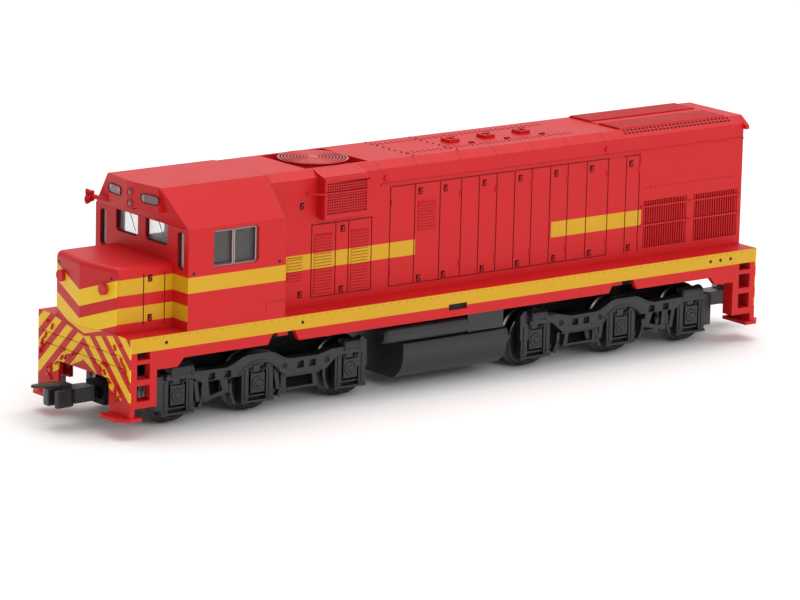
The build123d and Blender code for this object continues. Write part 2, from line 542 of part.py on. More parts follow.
# ---------------------------------------------------------------- intake filter boxes
BOX_X0, BOX_X1, BOX_Y, BOX_Z0, BOX_Z1 = 21.4, 32.6, 13.1, 38.5, 47.0
BOX_RIM = 0.55
BOX_BARS = 12
for s, side in ((1, "left"), (-1, "right")):
    with BuildPart() as filter_box:
        # sloping top carries on the roof's edge
        section_yz([(s * HOOD_HALF, BOX_Z0), (s * BOX_Y, BOX_Z0), (s * BOX_Y, BOX_Z1),
                    (s * HOOD_HALF, Z_ROOF - 0.7), (s * (CHAMFER + 0.05), Z_ROOF),
                    (s * HOOD_HALF, Z_ROOF - CHAMFER_Z)], BOX_X0, BOX_X1)
        # sunk mesh field with upright bars
        a, b = BOX_X0 + BOX_RIM, BOX_X1 - BOX_RIM
        pitch = (b - a) / BOX_BARS
        comb = [(b, s * (BOX_Y + 1)), (a, s * (BOX_Y + 1))]
        for k in range(BOX_BARS):
            x = a + k * pitch
            comb += [(x, s * (BOX_Y - 0.5)), (x + pitch / 2, s * (BOX_Y - 0.5)),
                     (x + pitch / 2, s * (BOX_Y - 0.15)), (x + pitch, s * (BOX_Y - 0.15))]
        outline_xy(comb, BOX_Z0 + 1.2, BOX_Z1 - 0.9, Mode.SUBTRACT)
    save(filter_box, f"{side}_filter_box", RED)

HATCH_XS = (-9.7, -19.2, -28.7)
HATCH_HALF, HATCH_RIM, HATCH_TOP = 1.4, 0.5, 0.7
with BuildPart() as hatch_rings:
    for x in HATCH_XS:
        block(x - HATCH_HALF, x + HATCH_HALF, -HATCH_HALF, HATCH_HALF, Z_ROOF, Z_ROOF + HATCH_TOP)
        block(x - HATCH_HALF + HATCH_RIM, x + HATCH_HALF - HATCH_RIM, -HATCH_HALF + HATCH_RIM,
              HATCH_HALF - HATCH_RIM, Z_ROOF + HATCH_TOP / 2, Z_ROOF + 2, Mode.SUBTRACT)
save(hatch_rings, "roof_hatch_rings", RED)

# ---------------------------------------------------------------- fuel tank, reservoirs, panels
TANK_X0, TANK_X1 = -(PIVOT_X - 32.0), PIVOT_X - 34.4
TANK_Y, TANK_Z0, TANK_TOP, NECK_Y = 14.4, 2.6, 10.6, 11.9
with BuildPart() as fuel_tank:
    section_yz(mirrored([(NECK_Y, Z_CHASSIS0), (NECK_Y, TANK_TOP + 0.5), (TANK_Y - 0.4, TANK_TOP),
                         (TANK_Y, TANK_TOP - 0.6), (TANK_Y, TANK_Z0 + 4.8, 2.5),
                         (TANK_Y - 4.0, TANK_Z0, 2.5)]), TANK_X0, TANK_X1)
    # filler pipe stub at the rear
    prism_x(TANK_Y - 2.5, TANK_TOP - 2.5, 0.9, TANK_X0, TANK_X0 - 2.2, 8)
save(fuel_tank, "fuel_tank", DARK)

TUBE_Y, TUBE_Z, TUBE_R = 14.2, 12.9, 1.75
TUBE_X0, TUBE_X1 = TANK_X0 + 11.4, PIVOT_X - 28.6
DOME = 0.7
PANEL_X0, PANEL_X1 = TANK_X0 + 1.8, TANK_X0 + 11.3
for s, side in ((1, "left"), (-1, "right")):
    with BuildPart() as reservoir:
        prism_x(s * TUBE_Y, TUBE_Z, TUBE_R, TUBE_X0 + DOME, TUBE_X1 - DOME, 16)
        prism_x(s * TUBE_Y, TUBE_Z, TUBE_R, TUBE_X0 + DOME, TUBE_X0, 16, 40)
        prism_x(s * TUBE_Y, TUBE_Z, TUBE_R, TUBE_X1 - DOME, TUBE_X1, 16, 40)
        # straps to the tank's neck
        for x in (TUBE_X0 + 2.6, TANK_X1 - 2.6):
            block(x, x + 0.8, s * NECK_Y, s * TUBE_Y, TUBE_Z - 0.6, TUBE_Z + 0.6)
    save(reservoir, f"{side}_air_reservoir", DARK)
    with BuildPart() as side_panel:
        block(PANEL_X0, PANEL_X1, s * (Y_SILL - 3.0), s * (Y_SILL - 1.3), 11.2, Z_CHASSIS0)
        block(PANEL_X0, PANEL_X1, s * (NECK_Y + 0.1), s * (Y_SILL - 2.9), 14.4, Z_CHASSIS0)
    save(side_panel, f"{side}_battery_panel", DARK)

# ---------------------------------------------------------------- truck frames
BLOCK_Y = 6.2             # gearbox half width
AXLES = [PIVOT_X + dx for dx in AXLE_OFFSETS]
X_OUT, X_IN = AXLES[0] + 4.2, AXLES[2] - 2.0         # ends of the gearbox block
TRANSOMS = (PIVOT_X + 11.0, PIVOT_X - 10.8)
POCKET_HALF, POCKET_END = 3.2, COUPLER_X + 3.5
for e, end in ((1, "front"), (-1, "rear")):
    with BuildPart() as truck:
        # gearbox with sloped ends, seen from the side
        outline_xz([(e * x, z) for x, z in ((X_IN, 5.0), (X_IN + 2.5, 3.0), (X_OUT - 2.5, 3.0),
                    (X_OUT, 5.0), (X_OUT, 10.0), (X_OUT - 3.0, 12.0), (X_IN + 3.0, 12.0),
                    (X_IN, 10.0))], -BLOCK_Y, BLOCK_Y)
        for x in TRANSOMS:
            block(e * (x - 2.2), e * (x + 2.2), -FRAME_Y0, FRAME_Y0, 8.0, 10.4)
        prism_z(e * PIVOT_X, 0, PIN_R * 2.3, 11.5, Z_BOSS - 0.2, 16)
        rod_z(e * PIVOT_X, 0, PIN_R, Z_BOSS - 0.4, Z_CHASSIS1 - 0.56)
        for x in AXLES:
            rod_y(e * x, AXLE_Z, AXLE_R + AXLE_CLEAR, -BLOCK_Y - 1, BLOCK_Y + 1, Mode.SUBTRACT)
        # coupler pocket and its pin
        block(e * (X_OUT - 0.1), e * POCKET_END, -POCKET_HALF, POCKET_HALF, COUPLER_Z - 2.1,
              COUPLER_Z + 2.1)
        block(e * (X_OUT + 2.0), e * (POCKET_END + 1), -POCKET_HALF + 0.8, POCKET_HALF - 0.8,
              COUPLER_Z - 1.0, COUPLER_Z + 1.0, Mode.SUBTRACT)
        rod_z(e * COUPLER_X, 0, COUPLER_PIN_R, COUPLER_Z - 1.05, COUPLER_Z + 1.05)
    save(truck, f"{end}_truck_frame", DARK)

# ---------------------------------------------------------------- truck side frames
# Every x below is measured from the truck's pivot, positive toward the outer end.
# beam with its arch over the middle axle: x, z, cut of the corner
BEAM = [(24.0, 9.9, 0), (24.0, 11.2, 0.3), (9.0, 10.9, 0.6), (4.6, 12.8, 0.6), (-1.9, 12.8, 0.6),
        (-6.0, 10.8, 0.6), (-13.5, 10.7, 0), (-17.2, 11.5, 0), (-24.6, 11.5, 0), (-24.6, 9.9, 0),
        (-18.6, 9.9, 0.5), (-15.8, 7.4, 0.5), (-5.6, 7.3, 0), (-4.4, 8.2, 0), (6.4, 8.6, 0),
        (15.6, 8.6, 0.4), (17.8, 9.9, 0.4)]
ARCH_R, ARCH_Z = 6.2, 4.7          # underside of the arch, about the middle axle
# end plates: x0, x1, z bottom, z top, cut of the top corners
END_PLATES = ((23.1, 26.4, 3.8, 10.8, 0.4), (-26.7, -24.3, 6.6, 12.9, 1.0))
LEG_IN, LEG_OUT, LEG_FOOT, LEG_TOP = 2.2, 3.9, 3.6, 10.2
SQUARES = ((12.9, 9.5), (8.95, 9.5), (-9.25, 9.2), (-12.3, 9.2))    # centre x, z
SQUARE = (1.7, 1.4)
# brake rigging, four corners each: x, z
RIGGING = (((16.6, 8.8), (15.6, 8.8), (14.9, 4.4), (15.9, 4.4)),
           ((14.6, 8.8), (13.0, 8.8), (12.4, 4.2), (14.0, 4.2)),
           ((14.0, 4.9), (14.0, 4.0), (7.6, 5.4), (7.8, 6.3)),
           ((10.4, 8.8), (8.4, 8.8), (7.6, 5.4), (9.2, 5.4)),
           ((-3.3, 8.8), (-4.4, 8.8), (-5.0, 4.4), (-4.0, 4.4)),
           ((-5.2, 7.6), (-6.4, 7.6), (-6.6, 3.6), (-5.4, 3.6)),
           ((-5.0, 7.1), (-5.0, 6.6), (-15.0, 6.6), (-15.0, 7.1)),
           ((-5.4, 4.4), (-5.4, 3.9), (-14.6, 3.9), (-14.6, 4.4)),
           ((-13.0, 7.6), (-13.9, 7.6), (-14.6, 3.9), (-13.4, 3.9)))
# brake cylinders: x0, x1
CYLINDERS = ((17.6, 23.2), (-20.2, -24.4))
CYL_Y, CYL_Z, CYL_R = 11.9, 11.7, 1.25
BOX_HALF, BOX_FOOT, BOX_FACE = 1.45, AXLE_Z - 1.45, FRAME_Y1 - 0.15


def sided(s, a, b):
    """Low and high y of a layer between a and b from the middle, on side s."""
    return sorted((s * a, s * b))


for e, end in ((1, "front"), (-1, "rear")):
    for s, side in ((1, "left"), (-1, "right")):
        X = lambda x: e * (PIVOT_X + x)
        with BuildPart() as frame:
            outline_xz(chamfered([(X(x), z, cut) for x, z, cut in BEAM]),
                       *sided(s, FRAME_Y0, FRAME_Y2))
            rod_y(X(AXLE_OFFSETS[1]), ARCH_Z, ARCH_R, s * (FRAME_Y0 - 1), s * (FRAME_Y2 + 1),
                  Mode.SUBTRACT)
            # the arch's web behind its face carries on down to the pedestals
            for dx in AXLE_OFFSETS:
                for k in (-1, 1):
                    block(X(dx + k * LEG_IN), X(dx + k * LEG_OUT), s * FRAME_Y0, s * FRAME_Y1,
                          LEG_FOOT, LEG_TOP)
                block(X(dx - LEG_OUT), X(dx + LEG_OUT), s * FRAME_Y0, s * (FRAME_Y1 - 0.5),
                      LEG_TOP - 0.6, LEG_TOP + 0.8)
                # tie bar under the axlebox
                block(X(dx - LEG_IN), X(dx + LEG_IN), s * (FRAME_Y0 + 0.3), s * (FRAME_Y1 - 0.4),
                      LEG_FOOT, LEG_FOOT + 0.4)
                # axlebox guide, spring seat and the box with its rounded foot
                block(X(dx - 1.75), X(dx + 1.75), s * FRAME_Y0, s * (FRAME_Y1 - 0.6), 4.5, 8.8)
                block(X(dx - 0.9), X(dx + 0.9), s * FRAME_Y0, s * (FRAME_Y1 - 0.3), 8.7, LEG_TOP)
                outline_xz(chamfered([(X(dx - BOX_HALF), 8.5), (X(dx - BOX_HALF), BOX_FOOT, 0.9),
                                      (X(dx + BOX_HALF), BOX_FOOT, 0.9), (X(dx + BOX_HALF), 8.5)]),
                           *sided(s, FRAME_Y0 + 0.5, BOX_FACE))
            for x0, x1, z0, z1, r in END_PLATES:
                outline_xz(chamfered([(X(x0), z0), (X(x0), z1, r), (X(x1), z1, r), (X(x1), z0)]),
                           *sided(s, FRAME_Y0, FRAME_Y1))
            for x, z in SQUARES:
                block(X(x - SQUARE[0] / 2), X(x + SQUARE[0] / 2), s * (FRAME_Y2 - 0.9),
                      s * (FRAME_Y2 + 1), z - SQUARE[1] / 2, z + SQUARE[1] / 2, Mode.SUBTRACT)
            for corners in RIGGING:
                outline_xz([(X(x), z) for x, z in corners], *sided(s, FRAME_Y0 + 0.3, FRAME_Y1 - 0.4))
            for x0, x1 in CYLINDERS:
                prism_x(s * CYL_Y, CYL_Z, CYL_R, min(X(x0), X(x1)), max(X(x0), X(x1)), 10)
        save(frame, f"{end}_truck_{side}_sideframe", DARK)

# ---------------------------------------------------------------- horn-hook couplers
# head seen from above: x ahead of the pin, y
HEAD = [(9.6, -1.3), (10.8, -3.2), (13.0, -3.2), (14.8, -1.4), (14.8, 0.2), (12.4, 0.2),
        (12.4, 1.3), (9.6, 1.3)]
HOOK = [(9.6, 1.3), (12.4, 1.3), (12.4, 1.9), (14.6, 1.9), (14.6, 3.1), (10.8, 3.1)]
HORN = [(10.0, -1.0), (12.0, -3.2), (17.6, -2.6), (17.6, -1.6), (12.6, 0.6)]
for e, end in ((1, "front"), (-1, "rear")):
    with BuildPart() as coupler:
        block(e * (COUPLER_X - 1.2), e * (COUPLER_X + 10), -1.3, 1.3, COUPLER_Z - 0.9,
              COUPLER_Z + 0.9)
        for outline, z0, z1 in ((HEAD, -1.9, 2.2), (HOOK, -1.9, 2.2), (HORN, 2.1, 3.2)):
            outline_xy([(e * (COUPLER_X + x), e * y) for x, y in outline], COUPLER_Z + z0,
                       COUPLER_Z + z1)
        rod_z(e * COUPLER_X, 0, COUPLER_PIN_R + COUPLER_CLEAR, COUPLER_Z - 2, COUPLER_Z + 2,
              Mode.SUBTRACT)
    save(coupler, f"{end}_coupler", DARK)

# ---------------------------------------------------------------- wheelsets
Y_FACE = WHEEL_BACK + WHEEL_W
WHEEL_FLATS = 32          # facets round a tread; one corner is at the bottom
for e, end in ((1, "front"), (-1, "rear")):
    for i, x in enumerate(AXLES, 1):
        with BuildPart() as wheelset:
            rod_y(e * x, AXLE_Z, AXLE_R, -Y_FACE + 0.5, Y_FACE - 0.5)
            for s in (-1, 1):
                prism_y(e * x, AXLE_Z, WHEEL_R, s * WHEEL_BACK, s * Y_FACE, WHEEL_FLATS)
                prism_y(e * x, AXLE_Z, FLANGE_R, s * WHEEL_BACK, s * (WHEEL_BACK + FLANGE_T),
                        WHEEL_FLATS)
        save(wheelset, f"{end}_wheelset_{i}", STEEL)
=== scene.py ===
"""Looks of the HO scale model diesel locomotive: plastics, paint, small trim, floor, light, camera.

Lengths are in millimetres in the part's frame: +X to the cab end, +Y to the left, +Z up.
"""
import json
from functools import reduce
from math import cos, pi, radians, sin
from operator import or_

import bmesh
import bpy
from mathutils import Matrix, Vector


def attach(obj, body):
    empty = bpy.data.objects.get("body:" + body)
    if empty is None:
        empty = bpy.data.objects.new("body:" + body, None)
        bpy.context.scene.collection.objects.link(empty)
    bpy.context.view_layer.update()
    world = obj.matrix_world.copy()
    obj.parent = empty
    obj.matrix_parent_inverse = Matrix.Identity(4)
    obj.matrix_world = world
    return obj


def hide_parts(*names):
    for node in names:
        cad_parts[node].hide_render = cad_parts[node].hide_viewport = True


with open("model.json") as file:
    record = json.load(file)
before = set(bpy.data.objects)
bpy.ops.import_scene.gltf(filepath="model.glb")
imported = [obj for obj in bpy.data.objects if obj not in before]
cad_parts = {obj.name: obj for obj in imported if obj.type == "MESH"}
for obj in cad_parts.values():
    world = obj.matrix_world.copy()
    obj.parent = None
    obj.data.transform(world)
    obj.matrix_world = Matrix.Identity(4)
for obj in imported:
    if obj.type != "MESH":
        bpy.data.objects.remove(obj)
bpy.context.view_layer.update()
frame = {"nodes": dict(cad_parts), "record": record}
scene = bpy.context.scene
MM = 0.001
UP = (0, 0, 1)
SIDES = ((1, "left"), (-1, "right"))
ENDS = ((1, "front"), (-1, "rear"))

# ---- sizes shared with the solids
BODY_X, Y_SILL, Z_DECK, Z_BAND = 82.3, 16.2, 20.46, 17.5
X_RIDGE, RIDGE_SLOPE, NOSE_Y = 83.5, 0.15, 11.0
CAB_X1, CAB_X0, Z_EAVE = 68.6, 44.5, 40.9
CAB_ROOF_Z, X_BROW, BROW_Y, FLAT_Y, ROOF_X1 = 48.45, 71.5, 8.6, 1.3, 70.6
HOOD_Y, Z_ROOF, CHAMFER_Y, CHAMFER_Z = 10.5, 48.4, 8.6, 46.9
FAN_X, FAN_R, FAN_Z0, FAN_Z1 = 26.1, 7.35, 46.4, 48.8
WHEEL_R, FLANGE_R, AXLE_Z, WHEEL_BACK = 5.7, 6.5, 6.5, 7.2
PIVOT_X, AXLE_DX = 47.0, (20.8, 1.0, -22.5)  # truck pivot, and its axles from there
# roof radiator tray: x rear, x front, edge of the middle strip, outer edge, top
TRAY_X0, TRAY_X1, TRAY_IN, TRAY_OUT, TRAY_Z = -78.5, -48.9, 1.45, 8.5, 48.8

# ---- node arithmetic
def tune(node, values):
    """Set a node's own inputs by name."""
    for key, value in values.items():
        node.inputs[key].default_value = value


class Field:
    """One number over a surface, held as a node socket. Arithmetic adds Math nodes."""

    def __init__(self, tree, socket):
        self.tree, self.socket = tree, socket

    def math(self, operation, other=0.0):
        node = self.tree.nodes.new("ShaderNodeMath")
        node.operation = operation
        self.tree.links.new(self.socket, node.inputs[0])
        if isinstance(other, Field):
            self.tree.links.new(other.socket, node.inputs[1])
        else:
            node.inputs[1].default_value = other
        return Field(self.tree, node.outputs[0])

    def __add__(self, other):
        return self.math("ADD", other)

    def __sub__(self, other):
        return self.math("SUBTRACT", other)

    def __mul__(self, other):
        return self.math("MULTIPLY", other)

    def __or__(self, other):
        return self.math("MAXIMUM", other)

    def size(self):
        return self.math("ABSOLUTE")

    def over(self, low):
        return self.math("GREATER_THAN", low)

    def under(self, high):
        return self.math("LESS_THAN", high)

    def between(self, low, high):
        return self.over(low) * self.under(high)

    def repeat(self, period):
        """Place within one period, from 0 to 1."""
        return (self * (1 / period)).math("FRACT")

    def near(self, value, half):
        return (self - value).size().under(half)


def feed_colour(tree, value, socket):
    """Give an input a colour, or the socket that a colour comes from."""
    if isinstance(value, bpy.types.NodeSocket):
        tree.links.new(value, socket)
    else:
        socket.default_value = (*value, 1)


def mix_colour(tree, factor, low, high):
    """A colour between two; each may be a colour or a socket."""
    node = tree.nodes.new("ShaderNodeMix")
    node.data_type = "RGBA"
    tree.links.new(factor, node.inputs[0])
    feed_colour(tree, low, node.inputs[6])
    feed_colour(tree, high, node.inputs[7])
    return node.outputs[2]


def noise(tree, coords, scale, detail=3.0):
    """Noise that averages about 0.5."""
    node = tree.nodes.new("ShaderNodeTexNoise")
    tune(node, {"Scale": scale, "Detail": detail})
    tree.links.new(coords, node.inputs["Vector"])
    return Field(tree, node.outputs["Fac"])


def remap(field, low, high):
    return field * (high - low) + low


# ---- camera
CAM_TARGET = Vector((2.566, 0.0, 15.903)) * MM
CAM_DISTANCE = 1054.012 * MM
CAM_TURNS = (141.958, 12.702, 1.392)  # azimuth, height and roll in degrees
CAM_LENS, CAM_SENSOR, CAM_FAR = 227.15, 36, 20


def make_camera():
    """Camera on a sphere round its target, rolled a little as in the picture."""
    az, el, roll = map(radians, CAM_TURNS)
    back = Vector((sin(az) * cos(el), -cos(az) * cos(el), sin(el)))
    right = Vector(UP).cross(back).normalized()
    up = back.cross(right)
    x = cos(roll) * right + sin(roll) * up
    y = cos(roll) * up - sin(roll) * right
    data = bpy.data.cameras.new("camera")
    data.sensor_width = CAM_SENSOR
    data.lens = CAM_LENS
    data.clip_end = CAM_FAR
    camera = bpy.data.objects.new("camera", data)
    scene.collection.objects.link(camera)
    place = Matrix((x, y, back)).transposed().to_4x4()
    place.translation = CAM_TARGET + CAM_DISTANCE * back
    camera.matrix_world = place
    scene.camera = camera


make_camera()
scene.view_settings.view_transform = "Standard"


# ---- stage and light
# sky brightness: mean, growth toward SKY_SIDE
SKY_MEAN, SKY_SWING, SKY_SIDE = 0.60, 0.36, Vector((-0.75, 0.2, 0.6)).normalized()
FLOOR_SIZE, FLOOR_WHITE, FLOOR_ROUGH, FLOOR_GLOSS = 6.0, 0.95, 0.9, 0.1
LIGHT_AIM = (0, 0, 0.03)
# soft boxes: place in metres, size, watts
LIGHTS = {"top": ((-0.15, -0.2, 0.9), (1.0, 0.8), 5.2),
          "side": ((0.1, 0.75, 0.42), (0.5, 0.3), 1.6)}


def make_floor():
    """Plain pale floor."""
    bpy.ops.mesh.primitive_plane_add(size=FLOOR_SIZE, location=(0, 0, 0))
    floor = bpy.context.object
    floor.name = "floor"
    mat = bpy.data.materials.new("floor_white")
    mat.use_nodes = True
    tune(mat.node_tree.nodes["Principled BSDF"],
         {"Base Color": (FLOOR_WHITE, FLOOR_WHITE, FLOOR_WHITE, 1), "Roughness": FLOOR_ROUGH,
          "Specular IOR Level": FLOOR_GLOSS})
    floor.data.materials.append(mat)


def make_sky():
    """White tent, brighter behind and above, darker in front of the cab."""
    world = bpy.data.worlds.new("world")
    scene.world = world
    world.use_nodes = True
    tree = world.node_tree
    way = tree.nodes.new("ShaderNodeTexCoord").outputs["Generated"]
    dot = tree.nodes.new("ShaderNodeVectorMath")
    dot.operation = "DOT_PRODUCT"
    dot.inputs[1].default_value = SKY_SIDE
    tree.links.new(way, dot.inputs[0])
    shade = Field(tree, dot.outputs["Value"]) * SKY_SWING + SKY_MEAN
    sky = tree.nodes["Background"]
    tune(sky, {"Color": (1, 1, 1, 1)})
    tree.links.new(shade.socket, sky.inputs["Strength"])


def area_light(name, place, size, power):
    """Rectangular soft box that looks at the model's middle."""
    data = bpy.data.lights.new(name, "AREA")
    data.shape = "RECTANGLE"
    data.size, data.size_y = size
    data.energy = power
    lamp = bpy.data.objects.new(name, data)
    scene.collection.objects.link(lamp)
    lamp.location = place
    way = Vector(LIGHT_AIM) - Vector(place)
    lamp.rotation_euler = way.to_track_quat("-Z", "Y").to_euler()


make_floor()
make_sky()
for name, values in LIGHTS.items():
    area_light(name, *values)


# ---- finishes
SHADE_SCALE, GRAIN_SCALE = 90.0, 5200.0  # slow colour drift and moulding grain, per metre
GRAIN_DEPTH, EDGE_SAMPLES = 0.00004, 4  # metres; rays at a soft edge
ROUGH_SHIFT = 0.1  # the two noises add up to about 1


def finish(name, colour, rough=(0.4, 0.52), drift=0.06, grain=0.12, marks=(), metallic=0.0,
           coat=0.0, edge=0.0, gloss=0.3):
    """Moulded or painted finish: colour drift, uneven gloss, fine grain and painted marks.

    marks are (function of x, y, z in mm that gives a 0 or 1 field, colour), edge is the radius
    in mm to which shading rounds the edges.
    """
    mat = bpy.data.materials.new(name)
    mat.use_nodes = True
    tree = mat.node_tree
    link = tree.links.new
    bsdf = tree.nodes["Principled BSDF"]
    coords = tree.nodes.new("ShaderNodeTexCoord").outputs["Object"]
    split = tree.nodes.new("ShaderNodeSeparateXYZ")
    link(coords, split.inputs[0])
    x, y, z = (Field(tree, split.outputs[i]) * (1 / MM) for i in range(3))
    for mask, paint in marks:
        colour = mix_colour(tree, mask(x, y, z).socket, colour, paint)
    slow = noise(tree, coords, SHADE_SCALE)
    fine = noise(tree, coords, GRAIN_SCALE, 2.0)
    node = tree.nodes.new("ShaderNodeHueSaturation")
    link(remap(slow, 1 - drift, 1 + drift).socket, node.inputs["Value"])
    feed_colour(tree, colour, node.inputs["Color"])
    link(node.outputs[0], bsdf.inputs["Base Color"])
    gloss_map = remap(slow + fine, rough[0] - ROUGH_SHIFT, rough[1] - ROUGH_SHIFT)
    link(gloss_map.socket, bsdf.inputs["Roughness"])
    bump = tree.nodes.new("ShaderNodeBump")
    tune(bump, {"Strength": grain, "Distance": GRAIN_DEPTH})
    link(fine.socket, bump.inputs["Height"])
    if edge:
        soft = tree.nodes.new("ShaderNodeBevel")
        soft.samples = EDGE_SAMPLES
        tune(soft, {"Radius": edge * MM})
        link(soft.outputs[0], bump.inputs["Normal"])
    link(bump.outputs[0], bsdf.inputs["Normal"])
    tune(bsdf, {"Metallic": metallic, "Coat Weight": coat, "Specular IOR Level": gloss})
    return mat


# ---- livery
RED_PAINT, YELLOW_PAINT = (0.56, 0.007, 0.009), (0.63, 0.345, 0.008)
END_YELLOW_WITH_PAINTED_LIGHT = (0.86, 0.52, 0.01)  # ends' yellow made brighter as painted light, since the ends face away from the light
# dark red of painted shade in hollows and recesses and on rivets
PAINTED_SHADE_RED = (0.13, 0.004, 0.006)
# dark red of the joint lines, also used as painted shade on the floors of the engraved door joints
JOINT_AND_SHADE_RED = (0.24, 0.005, 0.008)
# red in the louvre gaps, darkened as painted shade under the blades
SLIT_SHADE_RED = (0.3, 0.008, 0.01)
# louvred panels of the roof radiator painted a little darker: painted shade of the louvres
PANEL_SHADE_RED = (0.5, 0.007, 0.009)
# near black inside the cab: painted shade
CABIN_SHADE = (0.03, 0.026, 0.028)

# Masks reach a few tenths past the faces that they colour.
ROOF_SLOPE, ROOF_T = 1.08, 0.75  # sloped sides of the cab roof: fall, thickness
CAB_BAND, CORNER_BAND = (28.1, 31.3), (22.4, 25.6)  # heights of the cab's and nose's bands
# hood stripes: x rear, x front, z bottom, z top
HOOD_STRIPES = ((7.2, 44.6, 28.1, 31.3), (-53.9, -29.1, 27.6, 30.95))
CHEVRON_SLOPE = 0.335
CHEVRONS = ((24.3, 27.7), (18.6, 21.9))  # heights on the ridge
PLATE_V = (18.6, 0.27)  # lower chevron's foot on the pilot: height, slope
STRIPE_TOP = (18.05, 0.2)  # upper edge of the front stripes: height, slope
STRIPE_SLOPE, STRIPE_START, STRIPE_PERIOD, STRIPE_SHARE = 0.95, 13.35, 4.6, 0.535
STRIPE_FOOT, FOOT_CORNER, FOOT_SLOPE = 7.6, (9.0, 9.3), 0.43  # their lower edge
ROOF_JOINTS = (16.6, 7.0, -4.4, -14.0, -23.8, -33.1, -43.2)
JOINT_HALF = 0.11
DOOR_TOP, LINTEL_X = 42.9, (-48.9, -44.0)  # upper line of the last doors: height, x
HATCH_X, HATCH_Z = 49.3, (21.1, 24.0)  # small hatch low on the cab side
GROOVE = (0.26, 0.08)  # floors of the engraved joints, in from a face
DOOR_X, NOSE_END_X, NOSE_END_Z = (-81.0, 43.8), 80.0, 31.9  # reach of the engraved doors
# louvred fields of the hood: x rear, x front, z bottom, z top
LOUVRES = ((36.1, 40.0, 26.0, 31.0), (28.6, 33.2, 22.8, 35.4), (19.3, 23.8, 22.8, 35.4),
           (2.0, 6.6, 33.1, 39.5))
LOUVRE_PITCH, SLIT_SHARE = 0.62, 0.24
STREAK_SCALE, STREAK_GREY = 260.0, (0.15, 0.09, 0.095)


def yellow(x, y, z):
    """Bands along hood, cab, nose and sill."""
    wide = y.size()
    hood = reduce(or_, (x.between(x0, x1) * z.between(z0, z1) for x0, x1, z0, z1 in HOOD_STRIPES))
    hood = hood * wide.between(HOOD_Y - 0.5, HOOD_Y + 0.8)
    cab = z.between(*CAB_BAND) * x.between(CAB_X0 - 0.2, CAB_X1 + 0.1) * wide.over(NOSE_Y - 0.1)
    corner = z.between(*CORNER_BAND) * x.between(CAB_X1 - 0.02, X_RIDGE) * wide.over(NOSE_Y - 0.4)
    side = z.between(*CAB_BAND) * x.between(CAB_X1, X_RIDGE) * wide.over(NOSE_Y - 0.4)
    sill = wide.over(Y_SILL - 0.04) * z.between(Z_BAND, Z_DECK - 0.005)
    return hood | cab | corner | side | sill


def end_yellow(x, y, z):
    """Chevrons on the nose's facets and stripes on the end plates."""
    wide, long = y.size(), x.size()
    facet = (x + wide * RIDGE_SLOPE).over(X_RIDGE - 0.2) * z.over(Z_DECK)
    level = z - wide * CHEVRON_SLOPE
    nose = facet * (level.between(*CHEVRONS[0]) | level.between(*CHEVRONS[1]))
    plate = long.over(BODY_X - 0.25) * z.under(Z_DECK)
    stripes = (z + wide * STRIPE_SLOPE - STRIPE_START).repeat(STRIPE_PERIOD).under(STRIPE_SHARE)
    stripes = stripes * z.over(STRIPE_FOOT)
    stripes = stripes * (z + wide * FOOT_SLOPE).over(FOOT_CORNER[1] + FOOT_SLOPE * FOOT_CORNER[0])
    under_v = (z - wide * STRIPE_TOP[1]).under(STRIPE_TOP[0]) | x.under(0)
    front_v = (z - wide * PLATE_V[1]).over(PLATE_V[0]) * x.over(0)
    plate = plate * ((stripes * under_v) | front_v)
    return nose | plate


def seams(x, y, z):
    """Joints across the roof edge, round the cab side's hatch and over the last doors."""
    wide = y.size()
    joints = reduce(or_, (x.near(place, JOINT_HALF) for place in ROOF_JOINTS))
    joints = joints * z.between(CHAMFER_Z - 0.3, Z_ROOF + 0.1) * wide.between(
        CHAMFER_Y - 0.4, HOOD_Y + 0.1)
    hatch = (x.near(HATCH_X, 0.09) * z.between(*HATCH_Z)) | (
        z.near(HATCH_Z[1], 0.08) * x.between(CAB_X0, HATCH_X))
    cab_joint = x.near(CAB_X0 + 0.05, JOINT_HALF) * z.over(Z_EAVE)
    lintel = z.near(DOOR_TOP, 0.09) * x.between(*LINTEL_X) * wide.between(
        HOOD_Y - 0.02, HOOD_Y + 0.02)
    return joints | cab_joint | lintel | (hatch * wide.over(Y_SILL - 0.05))


def groove_floor_shade(x, y, z):
    """Painted shade on the floors of the engraved door joints on hood, nose and cab."""
    wide = y.size()
    deep, shallow = GROOVE
    hood = wide.between(HOOD_Y - deep, HOOD_Y - shallow) * x.between(*DOOR_X)
    nose = wide.between(NOSE_Y - deep, NOSE_Y - shallow) * x.between(CAB_X1 + 0.2, NOSE_END_X)
    nose = nose * z.under(NOSE_END_Z)
    return (hood | nose) * z.between(Z_DECK + 0.2, CHAMFER_Z - 0.2)


def slits_and_shade(x, y, z):
    """Gaps under the louvre blades: unpainted red through the yellow, darkened as painted shade."""
    def field(x0, x1, z0, z1):
        phase = ((z - z0) * (round((z1 - z0) / LOUVRE_PITCH) / (z1 - z0))).math("FRACT")
        return phase.under(SLIT_SHARE) * x.between(x0 + 0.2, x1 - 0.2) * z.between(z0, z1)

    return reduce(or_, (field(*louvre) for louvre in LOUVRES)) * y.size().between(
        HOOD_Y - 0.2, HOOD_Y + 0.5)


def cabin_shade(x, y, z):
    """Inner faces of the cab shell, dark as painted shade inside the closed cab."""
    wide = y.size()
    under_roof = (z + wide * ROOF_SLOPE).under(Z_EAVE + Y_SILL * ROOF_SLOPE - ROOF_T)
    return x.between(CAB_X0 + 0.8, CAB_X1 - 0.8) * wide.under(Y_SILL - 0.75) * (
        z.between(Z_DECK + 0.1, CAB_ROOF_Z - 0.6)) * under_roof


def mottle(x, y, z):
    """Darker streaks in the thick clear plastic of the number boards."""
    coords = x.tree.nodes["Texture Coordinate"].outputs["Object"]
    return noise(x.tree, coords, STREAK_SCALE).over(0.5)


def tray_panel_shade(x, y, z):
    """Louvred panels either side of the roof radiator's smooth middle strip, darker: painted shade.
    """
    return y.size().over(TRAY_IN)


